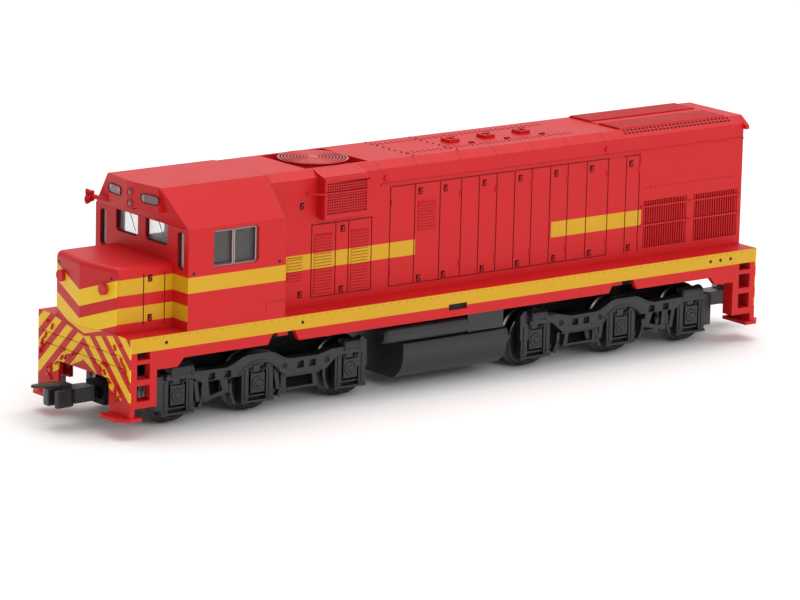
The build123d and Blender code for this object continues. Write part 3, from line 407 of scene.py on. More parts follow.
PAINT = {"rough": (0.42, 0.54), "drift": 0.04, "grain": 0.1}
MARKS = ((yellow, YELLOW_PAINT), (end_yellow, END_YELLOW_WITH_PAINTED_LIGHT), (seams, JOINT_AND_SHADE_RED),
         (groove_floor_shade, JOINT_AND_SHADE_RED), (slits_and_shade, SLIT_SHADE_RED), (cabin_shade, CABIN_SHADE))
LIVERY = finish("livery_paint", RED_PAINT, marks=MARKS, edge=0.12, **PAINT)
RED = finish("red_paint", RED_PAINT, edge=0.1, **PAINT)
RADIATOR_RED = finish("roof_radiator_red", RED_PAINT, marks=((tray_panel_shade, PANEL_SHADE_RED),), **PAINT)
# painted shade: dark red on radiator backs, roof rivets, window gaskets and number board rims
PAINTED_SHADE = finish("painted_shade_red", PAINTED_SHADE_RED, (0.6, 0.7))
SHADOW = finish("latch_shadow", (0.04, 0.004, 0.005), (0.6, 0.7), 0.1, gloss=0.15)
SHADED_YELLOW = finish("shaded_yellow", (0.3, 0.12, 0.008), (0.5, 0.6), 0.08)
BLACK = finish("black_plastic", (0.015, 0.015, 0.017), (0.28, 0.42), 0.25, 0.25, edge=0.16,
               gloss=0.5)
DEEP_BLACK = finish("shaded_black_plastic", (0.006, 0.006, 0.006), (0.5, 0.65), 0.25, 0.2,
                    gloss=0.12)
# near black painted shade for holes, notches and ports
DEEP_SHADE = finish("painted_deep_shade", (0.012, 0.01, 0.01), (0.6, 0.75))
METAL = finish("blackened_wheel", (0.014, 0.013, 0.013), (0.3, 0.45), 0.2, 0.15, gloss=0.3)
TREAD = finish("worn_tread", (0.13, 0.12, 0.11), (0.22, 0.38), 0.2, 0.15, metallic=1.0)
WEIGHT = finish("cast_weight", (0.18, 0.18, 0.19), (0.5, 0.65), 0.15, 0.4, metallic=0.6)
# light strips on the window frames' edges: painted highlights
EDGE_HIGHLIGHT_GREY = finish("window_edge", (0.44, 0.29, 0.31), (0.3, 0.42), 0.1)
FRAME_GREY = finish("window_frame_grey", (0.15, 0.085, 0.09), (0.3, 0.42), 0.15)
BOARD_GREY = finish("number_board", (0.33, 0.25, 0.26), (0.1, 0.25), 0.3, 0.3,
                    ((mottle, STREAK_GREY),), coat=0.5)
LENS = finish("lamp_lens", (0.1, 0.06, 0.065), (0.05, 0.12), 0.3, 0.05, coat=0.6, gloss=0.5)

# ---- window plastic
GLAZING_IOR, CORNER_Y = 1.25, 10.2


def clear_plastic(name, clear, corner=None):
    """Window moulding: a little uneven, milky where it is less clear, as in the corner panes."""
    mat = finish(name, (0.98, 0.99, 0.99), (0.01, 0.04), 0.02, 0.03, gloss=0.5)
    tree = mat.node_tree
    bsdf = tree.nodes["Principled BSDF"]
    tune(bsdf, {"IOR": GLAZING_IOR, "Transmission Weight": clear})
    if corner:
        wide = Field(tree, tree.nodes["Separate XYZ"].outputs[1]).size()
        share = wide.over(CORNER_Y * MM) * (corner - clear) + clear
        tree.links.new(share.socket, bsdf.inputs["Transmission Weight"])
    return mat


CLEAR = clear_plastic("clear_glazing", 0.96)
MILKY = clear_plastic("edge_lit_glazing", 0.8, 0.5)

# ---- materials of the solids
BY_SLOT = {"red_plastic": LIVERY, "dark_plastic": BLACK, "wheel_metal": METAL,
           "clear_plastic": CLEAR, "weight_metal": WEIGHT, "grey_plastic": FRAME_GREY,
           "white_plastic": BOARD_GREY}
BY_NODE = {"front_truck_frame": DEEP_BLACK, "rear_truck_frame": DEEP_BLACK,
           "chassis_plate": DEEP_BLACK, "class_lamps": RED, "front_glazing": MILKY,
           "roof_radiator_grille": RADIATOR_RED}
for part in frame["record"]["subparts"]:
    mesh = frame["nodes"][part["node"]].data
    mesh.materials.clear()
    mesh.materials.append(BY_NODE.get(part["node"], BY_SLOT[part["material_slot"]]))


# ---- mesh pieces
WELD, THIN, SHARP_ANGLE = 2e-7, 1e-4, 35  # metres; smallest radius; degrees
BEVEL_STEPS, BEVEL_ANGLE, MITRE_MIN = 2, 40, 0.3


def circle(centre, u, v, radius, sides):
    """Points round a circle in the plane of u and v."""
    turns = [2 * pi * k / sides for k in range(sides)]
    return [centre + (u * cos(a) + v * sin(a)) * radius for a in turns]


class Piece:
    """Mesh built up in millimetres, turned into one object that rides on a body."""

    def __init__(self):
        self.bm = bmesh.new()

    def skin(self, rings, caps=True, closed=False):
        """Quads between rings of equally many points."""
        made = [[self.bm.verts.new(Vector(p) * MM) for p in ring] for ring in rings]
        count = len(made[0])
        pairs = list(zip(made, made[1:]))
        if closed:
            pairs.append((made[-1], made[0]))
        for low, high in pairs:
            for i in range(count):
                j = (i + 1) % count
                self.bm.faces.new((low[i], low[j], high[j], high[i]))
        if caps and not closed:
            self.bm.faces.new(made[0][::-1])
            self.bm.faces.new(made[-1])

    def box(self, x0, x1, y0, y1, z0, z1):
        """Block between two values on each axis."""
        self.skin([[(x0, y0, z), (x1, y0, z), (x1, y1, z), (x0, y1, z)] for z in (z0, z1)])

    def prism(self, outline, lift):
        """Flat outline drawn out along lift."""
        self.skin([outline, [Vector(p) + Vector(lift) for p in outline]])

    def lathe(self, profile, place, axis, sides=32, caps=True):
        """Profile of (distance along the axis, radius) turned about an axis from place."""
        axis = Vector(axis).normalized()
        u = axis.orthogonal().normalized()
        v = axis.cross(u)
        place = Vector(place)
        self.skin([circle(place + axis * along, u, v, max(radius, THIN), sides)
                   for along, radius in profile], caps)

    def tube(self, points, radius, sides=10):
        """Round bar along a line of points, a little wider at its mitred corners."""
        points = [Vector(p) for p in points]
        rings = []
        side = None
        for i, p in enumerate(points):
            before = (p - points[i - 1]).normalized() if i else None
            after = (points[i + 1] - p).normalized() if i + 1 < len(points) else None
            along = ((before or after) + (after or before)).normalized()
            stretch = 1 / max(along.dot(before or after), MITRE_MIN)
            side = side or (before or after).orthogonal()
            side = (side - along * side.dot(along)).normalized()
            wider = (1 + stretch) / 2
            rings.append(circle(p, side, along.cross(side), radius * wider, sides))
        self.skin(rings)

    def build(self, name, material, slot="red_plastic", body="locomotive_body", bevel=0.0,
              replaces=None):
        """Make the object; body is what it rides on, replaces the solid in whose place it is."""
        bmesh.ops.remove_doubles(self.bm, verts=self.bm.verts, dist=WELD)
        bmesh.ops.recalc_face_normals(self.bm, faces=self.bm.faces)
        mesh = bpy.data.meshes.new(name)
        self.bm.to_mesh(mesh)
        self.bm.free()
        mesh.materials.append(material)
        mesh.shade_smooth()
        mesh.set_sharp_from_angle(angle=radians(SHARP_ANGLE))
        obj = bpy.data.objects.new(name, mesh)
        scene.collection.objects.link(obj)
        if bevel:
            edge = obj.modifiers.new("edge", "BEVEL")
            edge.width = bevel * MM
            edge.segments = BEVEL_STEPS
            edge.limit_method = "ANGLE"
            edge.angle_limit = radians(BEVEL_ANGLE)
        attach(obj, body)
        if replaces:
            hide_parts(replaces)


def rounded(a0, a1, b0, b1, r, steps=5):
    """Points round a rectangle with round corners."""
    points = []
    for a, b, start in ((a1 - r, b0 + r, -90), (a1 - r, b1 - r, 0), (a0 + r, b1 - r, 90),
                        (a0 + r, b0 + r, 180)):
        points += [(a + r * cos(radians(start + 90 * k / steps)),
                    b + r * sin(radians(start + 90 * k / steps))) for k in range(steps + 1)]
    return points


# ---- fan guard
RING_PITCH, RING_W, RING_DEPTH, HUB_R = 0.66, 0.3, 0.4, 0.9
RING_DROP, RING_EASE, RING_TAPER = 0.06, 0.07, 0.04  # how each ring is rounded off
RIM, RIM_W, HUB_RISE = 0.15, 0.45, 0.12
# spokes: count, first angle, half width, depth below the top, thickness
SPOKES, SPOKE_TURN, SPOKE_HALF, SPOKE_DOWN, SPOKE_T = 4, 20, 0.11, 0.3, 0.17


def guard_gap_shade(x, y, z):
    """Painted shade in the hollows between the rings."""
    return z.between(FAN_Z1 - RING_DEPTH - 0.1, FAN_Z1 - 0.14)


FAN_RED = finish("fan_red", RED_PAINT, (0.22, 0.34), 0.04, 0.1, ((guard_gap_shade, PAINTED_SHADE_RED),),
                 coat=0.1, gloss=0.5)


def fan_guard():
    """Roof fan: round housing, closely set rings, hub and spokes."""
    guard = Piece()
    top = FAN_Z1 - FAN_Z0
    profile = [(0, FAN_R - RIM), (top - RIM, FAN_R), (top, FAN_R - RIM)]
    r, gap = FAN_R - RIM_W, RING_PITCH - RING_W
    while r > HUB_R + RING_PITCH:
        profile += [(top - RING_DROP, r), (top - RING_DEPTH, r - RING_TAPER),
                    (top - RING_DEPTH, r - gap + RING_TAPER), (top - RING_DROP, r - gap),
                    (top, r - gap - RING_EASE), (top, r - RING_PITCH + RING_EASE)]
        r -= RING_PITCH
    profile += [(top, HUB_R), (top + HUB_RISE, HUB_R - 0.15), (top + HUB_RISE, 0)]
    guard.lathe(profile, (FAN_X, 0, FAN_Z0), UP, 96)
    long, wide = FAN_R - 0.5, SPOKE_HALF
    for k in range(SPOKES):
        turn = Matrix.Rotation(radians(45 * k + SPOKE_TURN), 3, "Z")
        corners = [turn @ Vector(p) + Vector((FAN_X, 0, FAN_Z1 - SPOKE_DOWN)) for p in
                   ((-long, -wide, 0), (long, -wide, 0), (long, wide, 0), (-long, wide, 0))]
        guard.prism(corners, (0, 0, SPOKE_T))
    guard.build("fan_guard", FAN_RED, replaces="fan_grille")


# ---- louvres
# outline of one blade: out from the hood's face, up from the blade's foot
BLADE = ((-0.02, 0.02), (0.02, 0.14), (0.24, 0.17), (0.24, 0.26))


def louvres(s, side):
    """Fine pressed louvres over each field, every blade with a lip at its lower edge."""
    sheet = Piece()
    for x0, x1, z0, z1 in LOUVRES:
        count = round((z1 - z0) / LOUVRE_PITCH)
        pitch = (z1 - z0) / count
        section = [(HOOD_Y - 0.3, z1), (HOOD_Y - 0.3, z0)]
        for k in range(count):
            z = z0 + k * pitch
            section += [(HOOD_Y + out, z + up) for out, up in BLADE]
        sheet.prism([(x0, s * y, z) for y, z in section], (x1 - x0, 0, 0))
    sheet.build(f"{side}_hood_louvres", LIVERY)


# ---- radiator grilles
RADIATORS = ((-81.2, -68.6), (-66.7, -54.4))
RAD_Z0, RAD_Z1, RAD_SLATS, RAD_GAP = 22.5, 32.7, 19, 0.05
RAD_BACK, SLAT_DEEP, SLAT_FACE = (-1.0, -0.85), -0.86, -0.12  # out from the hood's face
SLAT_HALF = (0.15, 0.13)  # at the back, at the face
RAD_RAILS, RAIL_HALF = (31.45, 27.4), 0.17
RAD_STUDS, STUD_HALF = (-81.7, -67.65, -54.0), (0.3, 0.28)


def radiator(s, side):
    """Upright slats over backs darkened as painted shade, held by two rails with studs."""
    slats, backs, rails = Piece(), Piece(), Piece()
    y = lambda out: s * (HOOD_Y + out)
    z0, z1 = RAD_Z0 + RAD_GAP, RAD_Z1 - RAD_GAP
    back, face = SLAT_HALF
    for x0, x1 in RADIATORS:
        backs.box(x0 + RAD_GAP, x1 - RAD_GAP, *map(y, RAD_BACK), z0, z1)
        pitch = (x1 - x0) / RAD_SLATS
        for k in range(RAD_SLATS + 1):
            x = min(max(x0 + k * pitch, x0 + 0.2), x1 - 0.2)
            slats.prism([(x - back, y(SLAT_DEEP), z0), (x + back, y(SLAT_DEEP), z0),
                         (x + face, y(SLAT_FACE), z0), (x - face, y(SLAT_FACE), z0)],
                        (0, 0, RAD_Z1 - RAD_Z0 - 2 * RAD_GAP))
    wide, high = STUD_HALF
    for z in RAD_RAILS:
        rails.box(RADIATORS[0][0] - 0.6, RADIATORS[1][1] + 0.6, y(SLAT_FACE), y(0.22),
                  z - RAIL_HALF, z + RAIL_HALF)
        for x in RAD_STUDS:
            rails.box(x - wide, x + wide, y(-0.1), y(0.3), z - high, z + high)
    slats.build(f"{side}_radiator_slats", RED, replaces=f"{side}_radiator_grilles")
    backs.build(f"{side}_radiator_back", PAINTED_SHADE)
    rails.build(f"{side}_radiator_rails", RED, bevel=0.05)


# ---- intake filter box
BOX_X0, BOX_X1, BOX_Y, BOX_Z0, BOX_Z1, BOX_RIM = 21.4, 32.6, 13.1, 38.5, 47.0, 0.6
MESH_Z, MESH_BARS, MESH_ROWS, WIRE = (39.5, 46.0), 17, 12, 0.12
# depths below the box's face: dark ground, upright wires, level wires
PIT_DOWN, UPRIGHT_DOWN, LEVEL_DOWN = 0.3, (0.32, 0.2), (0.31, 0.18)
# grab rail round the box: x, y
RAIL_Z, RAIL_R = 43.9, 0.16
RAIL = ((35.6, HOOD_Y - 0.1), (35.2, HOOD_Y + 1.2), (33.6, BOX_Y + 0.15), (32.6, BOX_Y + 0.28),
        (21.6, BOX_Y + 0.28), (21.2, BOX_Y - 0.4))


def filter_box(s, side):
    """Intake box with a square mesh in a sunk frame, a sloping top and a grab rail."""
    box, mesh, pit, rail = Piece(), Piece(), Piece(), Piece()
    y_in = BOX_Y - 0.6
    face = lambda down: s * (BOX_Y - down)
    section = [(HOOD_Y, BOX_Z0), (y_in, BOX_Z0), (y_in, BOX_Z1 + 0.18), (HOOD_Y, Z_ROOF - 0.7),
               (CHAMFER_Y + 0.05, Z_ROOF), (HOOD_Y, CHAMFER_Z)]
    box.prism([(BOX_X0, s * y, z) for y, z in section], (BOX_X1 - BOX_X0, 0, 0))
    x0, x1 = BOX_X0 + BOX_RIM, BOX_X1 - BOX_RIM
    z0, z1 = MESH_Z
    for bar in ((BOX_X0, BOX_X1, BOX_Z0, z0), (BOX_X0, BOX_X1, z1, BOX_Z1), (BOX_X0, x0, z0, z1),
                (x1, BOX_X1, z0, z1)):
        box.box(*bar[:2], s * y_in, s * BOX_Y, *bar[2:])
    pit.box(x0, x1, s * (y_in - 0.01), face(PIT_DOWN), z0, z1)
    for k in range(MESH_BARS + 1):
        x = x0 + (x1 - x0) * k / MESH_BARS
        mesh.box(x - WIRE, x + WIRE, *map(face, UPRIGHT_DOWN), z0, z1)
    for k in range(MESH_ROWS + 1):
        z = z0 + (z1 - z0) * k / MESH_ROWS
        mesh.box(x0, x1, *map(face, LEVEL_DOWN), z - WIRE, z + WIRE)
    box.build(f"{side}_intake_box", RED, bevel=0.12, replaces=f"{side}_filter_box")
    pit.build(f"{side}_intake_pit", SHADOW)
    mesh.build(f"{side}_intake_mesh", RED)
    rail.tube([(x, s * y, RAIL_Z) for x, y in RAIL], RAIL_R)
    rail.build(f"{side}_intake_rail", RED)


# ---- hood hardware
# door latches: x, z
LATCHES = ((36.5, 41.4), (36.7, 23.1), (26.0, 35.7), (26.2, 23.1), (6.1, 41.4), (6.2, 23.1),
           (-0.5, 41.3), (-0.3, 23.1), (-10.8, 41.3), (-10.6, 23.1), (-20.4, 41.3),
           (-20.1, 23.1), (-30.1, 41.3), (-29.9, 23.1), (-39.8, 41.3), (-39.7, 23.1),
           (-50.7, 41.3), (-50.5, 23.1))
NOSE_LATCHES = ((74.1, 31.0), (74.1, 23.0))
HINGES = tuple((x, z) for x in (-4.3, -13.8, -23.3, -33.0, -44.1, -53.0) for z in (39.7, 25.1)
               ) + ((18.5, 36.0), (18.5, 24.5), (13.6, 39.7), (13.6, 25.1))
LIFT_DOTS = ((15.2, 45.0), (-43.8, 45.0))
PIT_HALF = (0.52, 0.72)
# bars of one latch: x from, x to, out, z from, z to
LATCH_BARS = ((-0.12, 0.3, 0.22, -0.5, -0.2), (-0.3, 0.12, 0.22, 0.12, 0.42),
              (-0.12, 0.12, 0.16, -0.3, 0.3))
HINGE_R, HINGE_LONG = 0.16, 1.3
LIFT_LUG = ((0, 0.62), (0.35, 0.55), (0.55, 0.3))


def hardware(s, side):
    """Latches in their dark pits, hinges and lifting lugs along hood and nose."""
    pits, arms, knuckles = Piece(), Piece(), Piece()
    wide, high = PIT_HALF
    for places, face in ((LATCHES, HOOD_Y), (NOSE_LATCHES, NOSE_Y)):
        for x, z in places:
            y = lambda out: s * (face + out)
            pits.box(x - wide, x + wide, y(-0.05), y(0.03), z - high, z + high)
            for x0, x1, out, z0, z1 in LATCH_BARS:
                arms.box(x + x0, x + x1, y(0), y(out), z + z0, z + z1)
    for x, z in HINGES:
        knuckles.lathe([(0, HINGE_R), (HINGE_LONG, HINGE_R)],
                       (x, s * (HOOD_Y + 0.05), z - HINGE_LONG / 2), UP, 10)
    for x, z in LIFT_DOTS:
        knuckles.lathe(LIFT_LUG, (x, s * (HOOD_Y - 0.05), z), (0, s, 0), 20)
    pits.build(f"{side}_latch_pits", SHADOW)
    arms.build(f"{side}_latch_handles", RED, bevel=0.03)
    knuckles.build(f"{side}_hinges_and_lifting_lugs", RED, bevel=0.03)


# ---- rivets and holes
def rivet(piece, place, out, radius=0.13):
    """Small round head that stands out from a face."""
    piece.lathe([(-0.02, radius), (radius * 0.45, radius * 0.75), (radius * 0.65, 0.02)], place,
                out, 8)


def hole(piece, place, out, radius, sides=20):
    """Dark disc, painted shade that stands for a drilled hole."""
    piece.lathe([(-0.1, radius), (0.03, radius)], place, out, sides)


RIVET_X, RIVET_Z, RIVET_STEP = (-78.0, 79), 20.0, 2.03
SILL_HOLES, SILL_HOLE_Z, SILL_HOLE_R = (73.6, 40.0, -69.2, -72.0, -74.9), 18.9, 0.36
CAB_HOLES, CAB_HOLE_R = ((67.2, 32.0), (46.1, 32.2)), 0.34
NOSE_HOLE, NOSE_HOLE_R = (9.2, 31.5), 0.3
NOTCH_HALF, NOTCH_DOWN, NOTCH_Z = 2.35, (0.6, 0.55), (16.75, 17.95)


def sill_trim(s, side):
    """Rivets along the sill, drilled holes, and the notch under its middle."""
    rivets, holes = Piece(), Piece()
    x = RIVET_X[0]
    while x < RIVET_X[1]:
        rivet(rivets, (x, s * Y_SILL, RIVET_Z), (0, s, 0))
        x += RIVET_STEP
    for x in SILL_HOLES:
        hole(holes, (x, s * Y_SILL, SILL_HOLE_Z), (0, s, 0), SILL_HOLE_R)
    for x, z in CAB_HOLES:
        hole(holes, (x, s * Y_SILL, z), (0, s, 0), CAB_HOLE_R)
    y, z = NOSE_HOLE
    hole(holes, (X_RIDGE - RIDGE_SLOPE * y, s * y, z), (1, s * RIDGE_SLOPE, 0), NOSE_HOLE_R, 16)
    holes.box(-NOTCH_HALF, NOTCH_HALF, *(s * (Y_SILL - down) for down in NOTCH_DOWN), *NOTCH_Z)
    rivets.build(f"{side}_sill_rivets", SHADED_YELLOW)
    # holes and the block in the notch are near black: painted shade
    holes.build(f"{side}_drilled_holes", DEEP_SHADE, "dark_plastic")


# rivet rows across the roof, along it, and along the rear hood's sides
ROOF_CROSS, CROSS_Y, CROSS_STEP, CROSS_COUNT, CROSS_R = (6.4, -5.2), -8, 2, 9, 0.3
ALONG_Y, ALONG_X, ALONG_STEP, ALONG_R = (-5.8, 5.8, -4.9, 4.9), (5.7, -38.0), 1.4, 0.22
SIDE_X, SIDE_Z, SIDE_COUNT, SIDE_R = (-55.0, -79.8), 35.6, 19, 0.17
# pads beside the hatch rings: middle x of each pair, its reach, middle y, half width, height
PAD_X, PAD_REACH, PAD_Y, PAD_HALF, PAD_HIGH = (-9.7, -19.2, -28.7), (3.6, 2.4), 3.4, 0.3, 0.25


def roof_rivets():
    """Rivet rows of roof and rear hood and pads by the roof hatches, dark red as painted shade."""
    rivets = Piece()
    for x in ROOF_CROSS:
        for k in range(CROSS_COUNT):
            rivet(rivets, (x, CROSS_Y + CROSS_STEP * k, Z_ROOF), UP, CROSS_R)
    x = ALONG_X[0]
    while x > ALONG_X[1]:
        for y in ALONG_Y:
            rivet(rivets, (x, y, Z_ROOF), UP, ALONG_R)
        x -= ALONG_STEP
    for x in PAD_X:
        for y in (-PAD_Y, PAD_Y):
            rivets.box(x - PAD_REACH[0], x - PAD_REACH[1], y - PAD_HALF, y + PAD_HALF,
                       Z_ROOF - 0.02, Z_ROOF + PAD_HIGH)
    for s in (-1, 1):
        for k in range(SIDE_COUNT):
            x = SIDE_X[0] + (SIDE_X[1] - SIDE_X[0]) * k / (SIDE_COUNT - 1)
            rivet(rivets, (x, s * HOOD_Y, SIDE_Z), (0, s, 0), SIDE_R)
    rivets.build("roof_rivets", PAINTED_SHADE)


# ---- roof radiator trim
SLOTS, SLOT_W, SLOT_X = 28, 0.62, (-79.1, -50.0)
SLOT_ROWS, SLOT_LIFT = ((8.66, 8.98), (9.28, 9.62)), (0.02, 0.03)
RIB_W, RIB_PITCH, RIB_END = 0.3, 0.6, 0.4


def roof_radiator_trim():
    """Fine ribs on the tray's panels and two rows of slots in the sloped roof edge."""
    slots, ribs = Piece(), Piece()
    step = (SLOT_X[1] - SLOT_X[0]) / (SLOTS - 1)
    fall = (Z_ROOF - CHAMFER_Z) / (HOOD_Y - CHAMFER_Y)
    edge = lambda y: Z_ROOF - (y - CHAMFER_Y) * fall
    for s in (-1, 1):
        for k in range(SLOTS):
            x = SLOT_X[0] + k * step
            for y0, y1 in SLOT_ROWS:
                slots.prism([(x, s * y0, edge(y0)), (x + SLOT_W, s * y0, edge(y0)),
                             (x + SLOT_W, s * y1, edge(y1)), (x, s * y1, edge(y1))],
                            (0, s * SLOT_LIFT[0], SLOT_LIFT[1]))
        x = TRAY_X0 + RIB_END
        while x < TRAY_X1 - RIB_END:
            ribs.box(x, x + RIB_W, s * (TRAY_IN + 0.2), s * (TRAY_OUT - 0.8), TRAY_Z - 0.05,
                     TRAY_Z + 0.05)
            x += RIB_PITCH
    slots.build("roof_radiator_slots", SHADOW)
    ribs.build("roof_radiator_ribs", RED)


# ---- rear lamps
X_REAR, REAR_LAMP_Z, REAR_LAMP_R, REAR_RIM, REAR_OUT = -82.3, (42.3, 44.6), 0.85, 0.5, 0.3


def rear_lamps():
    """Twin lamps in a raised plate, as at the cab end."""
    plate, lens = Piece(), Piece()
    (low, high), r, rim_w = REAR_LAMP_Z, REAR_LAMP_R, REAR_RIM
    plate.prism([(X_REAR + 0.1, y, z) for y, z in
                 rounded(-r - rim_w, r + rim_w, low - r - rim_w, high + r + rim_w, r + 0.4)],
                (-0.45, 0, 0))
    for z in (high, low):
        place = (X_REAR - REAR_OUT, 0, z)
        plate.lathe([(0, r), (0.25, r), (0.25, r - 0.15), (0.05, r - 0.2)], place, (-1, 0, 0), 28,
                    caps=False)
        lens.lathe([(0, r - 0.2), (0.15, r - 0.2), (0.25, 0.4), (0.28, 0.02)], place, (-1, 0, 0),
                   28)
    plate.build("rear_lamp_plate", RED, bevel=0.05)
    lens.build("rear_lamps", LENS, "clear_plastic")


# ---- cab fittings
# windscreen wipers: (y, z) pivot and tip on the right and left panes
WIPERS = (((-3.9, 41.0), (-1.9, 37.6)), ((5.9, 41.3), (8.1, 38.0)))
# gaskets in the front windows: y inner, y outer, z bottom, z top
FRONT_PANES = ((1.3, 9.0, 36.5, 41.5), (12.4, 14.6, 32.5, 40.2))
GASKET, CORNER, GASKET_X = 0.14, 0.6, (-0.95, 0.75)  # width, corner; place and depth along x
WIPER_ARM, WIPER_BLADE, BLADE_END = 0.07, 0.06, (-0.45, 0.9)
LAMP_ZS = (46.3, 44.0)
LAMP_LENS = ((0, 0.66), (0.1, 0.66), (0.2, 0.45), (0.24, 0.02))
LAMP_RIM = ((0, 0.95), (0.2, 0.95), (0.25, 0.87), (0.2, 0.72), (0, 0.72))


def rim(piece, a0, a1, b0, b1, width, r, place, lift):
    """Flat frame round a rounded pane, from its outer edge inward. place turns (a, b) into 3-D."""
    outer = [Vector(place(*p)) for p in rounded(a0, a1, b0, b1, r)]
    inner = [Vector(place(*p)) for p in rounded(a0 + width, a1 - width, b0 + width, b1 - width,
                                                max(r - width, 0.05))]
    lift = Vector(lift)
    piece.skin([outer, [p + lift for p in outer], [p + lift for p in inner], inner], closed=True)


def cab_fittings():
    """Window gaskets and wipers at the front of the cab, and the two headlights."""
    gaskets, wipers, rings, lens = Piece(), Piece(), Piece(), Piece()
    for s in (-1, 1):
        for y0, y1, z0, z1 in FRONT_PANES:
            low, high = sorted((s * y0, s * y1))
            rim(gaskets, low, high, z0, z1, GASKET, CORNER,
                lambda a, b: (CAB_X1 + GASKET_X[0], a, b), (GASKET_X[1], 0, 0))
    x = CAB_X1 + 0.12
    for (y0, z0), (y1, z1) in WIPERS:
        y, z = (y0 + y1) / 2, (z0 + z1) / 2
        wipers.tube([(x - 0.3, y0, z0), (x, y0, z0), (x, y, z)], WIPER_ARM, 6)
        wipers.tube([(x, y + BLADE_END[0], z + BLADE_END[1]), (x, y, z), (x, y1, z1)],
                    WIPER_BLADE, 6)
    # gaskets in dark red: painted shade at the edges of the window openings
    gaskets.build("front_window_gaskets", PAINTED_SHADE)
    wipers.build("wipers", BLACK, "dark_plastic")
    for z in LAMP_ZS:
        lens.lathe(LAMP_LENS, (X_BROW, 0, z), (1, 0, 0), 28)
        rings.lathe(LAMP_RIM, (X_BROW, 0, z), (1, 0, 0), 32, caps=False)
    lens.build("headlights", LENS, "clear_plastic", replaces="headlight_lenses")
    rings.build("headlight_rims", RED)


# side window frames: x from and to, z from and to, middle of the post, rim width, outer face
FRAME_X, FRAME_Z, FRAME_POST, FRAME_RIM, FRAME_FACE = (51.3, 62.4), (32.7, 40.3), 57.2, 0.45, 15.65
EDGE_W = 0.11


def window_edge_highlights(s, side):
    """Painted highlights: light strips on the edges of the sliding window frames."""
    edges = Piece()
    y = (s * (FRAME_FACE - 0.05), s * (FRAME_FACE + 0.03))
    (x0, x1), (z0, z1) = FRAME_X, FRAME_Z
    for x in (x1 - 0.2, FRAME_POST + FRAME_RIM / 2, FRAME_POST - FRAME_RIM / 2, x0 + FRAME_RIM):
        edges.box(x - EDGE_W, x + EDGE_W, *y, z0 + 0.3, z1 - 0.3)
    for z in (z0 + 0.12, z1 - 0.4):
        edges.box(x0 + 0.5, x1 - 0.4, *y, z - EDGE_W * 0.8, z + EDGE_W * 0.8)
    edges.build(f"{side}_window_edge_highlights", EDGE_HIGHLIGHT_GREY, "grey_plastic")


# blank number boards on the brow: along the face, below the roof
BOARD_ALONG, BOARD_DOWN, BOARD_R = (2.15, 7.6), (3.8, 1.75), 0.95
BOARD_RIM, BOARD_SUNK, BOARD_T, RIM_T = 0.2, 0.1, 0.16, 0.3


def number_boards():
    """Blank boards and their rims, square to the swept faces of the brow."""
    boards, rims = Piece(), Piece()
    for s in (-1, 1):
        along = Vector((ROOF_X1 - X_BROW, s * (BROW_Y - FLAT_Y), 0)).normalized()
        out = s * along.cross(Vector(UP))
        start = Vector((X_BROW, s * FLAT_Y, CAB_ROOF_Z))
        place = lambda a, b: start + along * a + Vector((0, 0, b))
        a0, a1 = BOARD_ALONG
        b0, b1 = (-down for down in BOARD_DOWN)
        sunk = lambda a, b: place(a, b) - out * BOARD_SUNK
        boards.prism([sunk(*p) for p in rounded(a0 + 0.1, a1 - 0.1, b0 + 0.1, b1 - 0.1,
                                                BOARD_R - 0.05)], out * BOARD_T)
        rim(rims, a0, a1, b0, b1, BOARD_RIM, BOARD_R, sunk, out * RIM_T)
    boards.build("blank_number_boards", BOARD_GREY, "white_plastic", replaces="number_boards")
    # rims in dark red: painted shade round the sunk boards
    rims.build("number_board_rims", PAINTED_SHADE)


# ---- horn
HORN_X, HORN_Z, HORN_Y, ARM_R, POST_R, POST_HALF = 70.2, 42.6, 15.4, 0.5, 0.36, 0.85
# arm: x, y
HORN_ARM = ((CAB_X1 - 0.3, -10.4), (CAB_X1 + 0.9, -11.4), (HORN_X, -13.0), (HORN_X, -HORN_Y))
# bells: height off the arm, length, mouth radius, turn outward in degrees
BELLS = ((0.72, 1.1, 0.86, 15), (-0.72, 1.2, 0.9, 5))


def horn():
    """Two short bells on a post at the end of a bent arm."""
    piece = Piece()
    piece.tube([(x, y, HORN_Z) for x, y in HORN_ARM], ARM_R, 14)
    piece.tube([(HORN_X, -HORN_Y, HORN_Z + up) for up in (-POST_HALF, POST_HALF)], POST_R, 14)
    for dz, length, r, turn in BELLS:
        way = (cos(radians(turn)), -sin(radians(turn)), 0)
        piece.lathe([(-0.55, 0.2), (-0.45, 0.4), (length * 0.2, r * 0.55), (length * 0.6, r * 0.88),
                     (length, r), (length - 0.12, r * 0.85), (length * 0.4, 0.3)],
                    (HORN_X, -HORN_Y, HORN_Z + dz), way, 24)
    piece.build("horn", RED, replaces="air_horn")


# ---- pilot fittings
# round stubs: y, z, radius
STUBS = ((12.8, 18.7, 0.34), (11.5, 9.7, 0.42), (6.8, 13.9, 0.3))
# bent rods: points y, z, and radius
RODS = ((((10.8, 18.4), (11.3, 17.3)), 0.24), (((11.5, 9.7), (11.3, 8.2)), 0.26),
        (((13.1, 16.2), (13.6, 15.2), (14.4, 14.7), (15.0, 13.4)), 0.24),
        (((14.1, 13.6), (15.4, 12.5), (15.3, 11.6)), 0.3), (((6.8, 13.9), (8.2, 13.4)), 0.2),
        (((3.6, 13.6), (4.6, 13.3), (6.0, 12.9), (6.4, 12.1)), 0.24),
        (((7.2, 12.6), (7.9, 11.8)), 0.26), (((8.9, 11.0), (9.8, 10.4)), 0.24),
        (((12.9, 9.1), (12.1, 9.7), (11.1, 9.2), (11.6, 8.2)), 0.24),
        (((12.7, 8.3), (11.9, 7.5), (11.3, 6.9)), 0.22))
ROD_OUT = 0.2


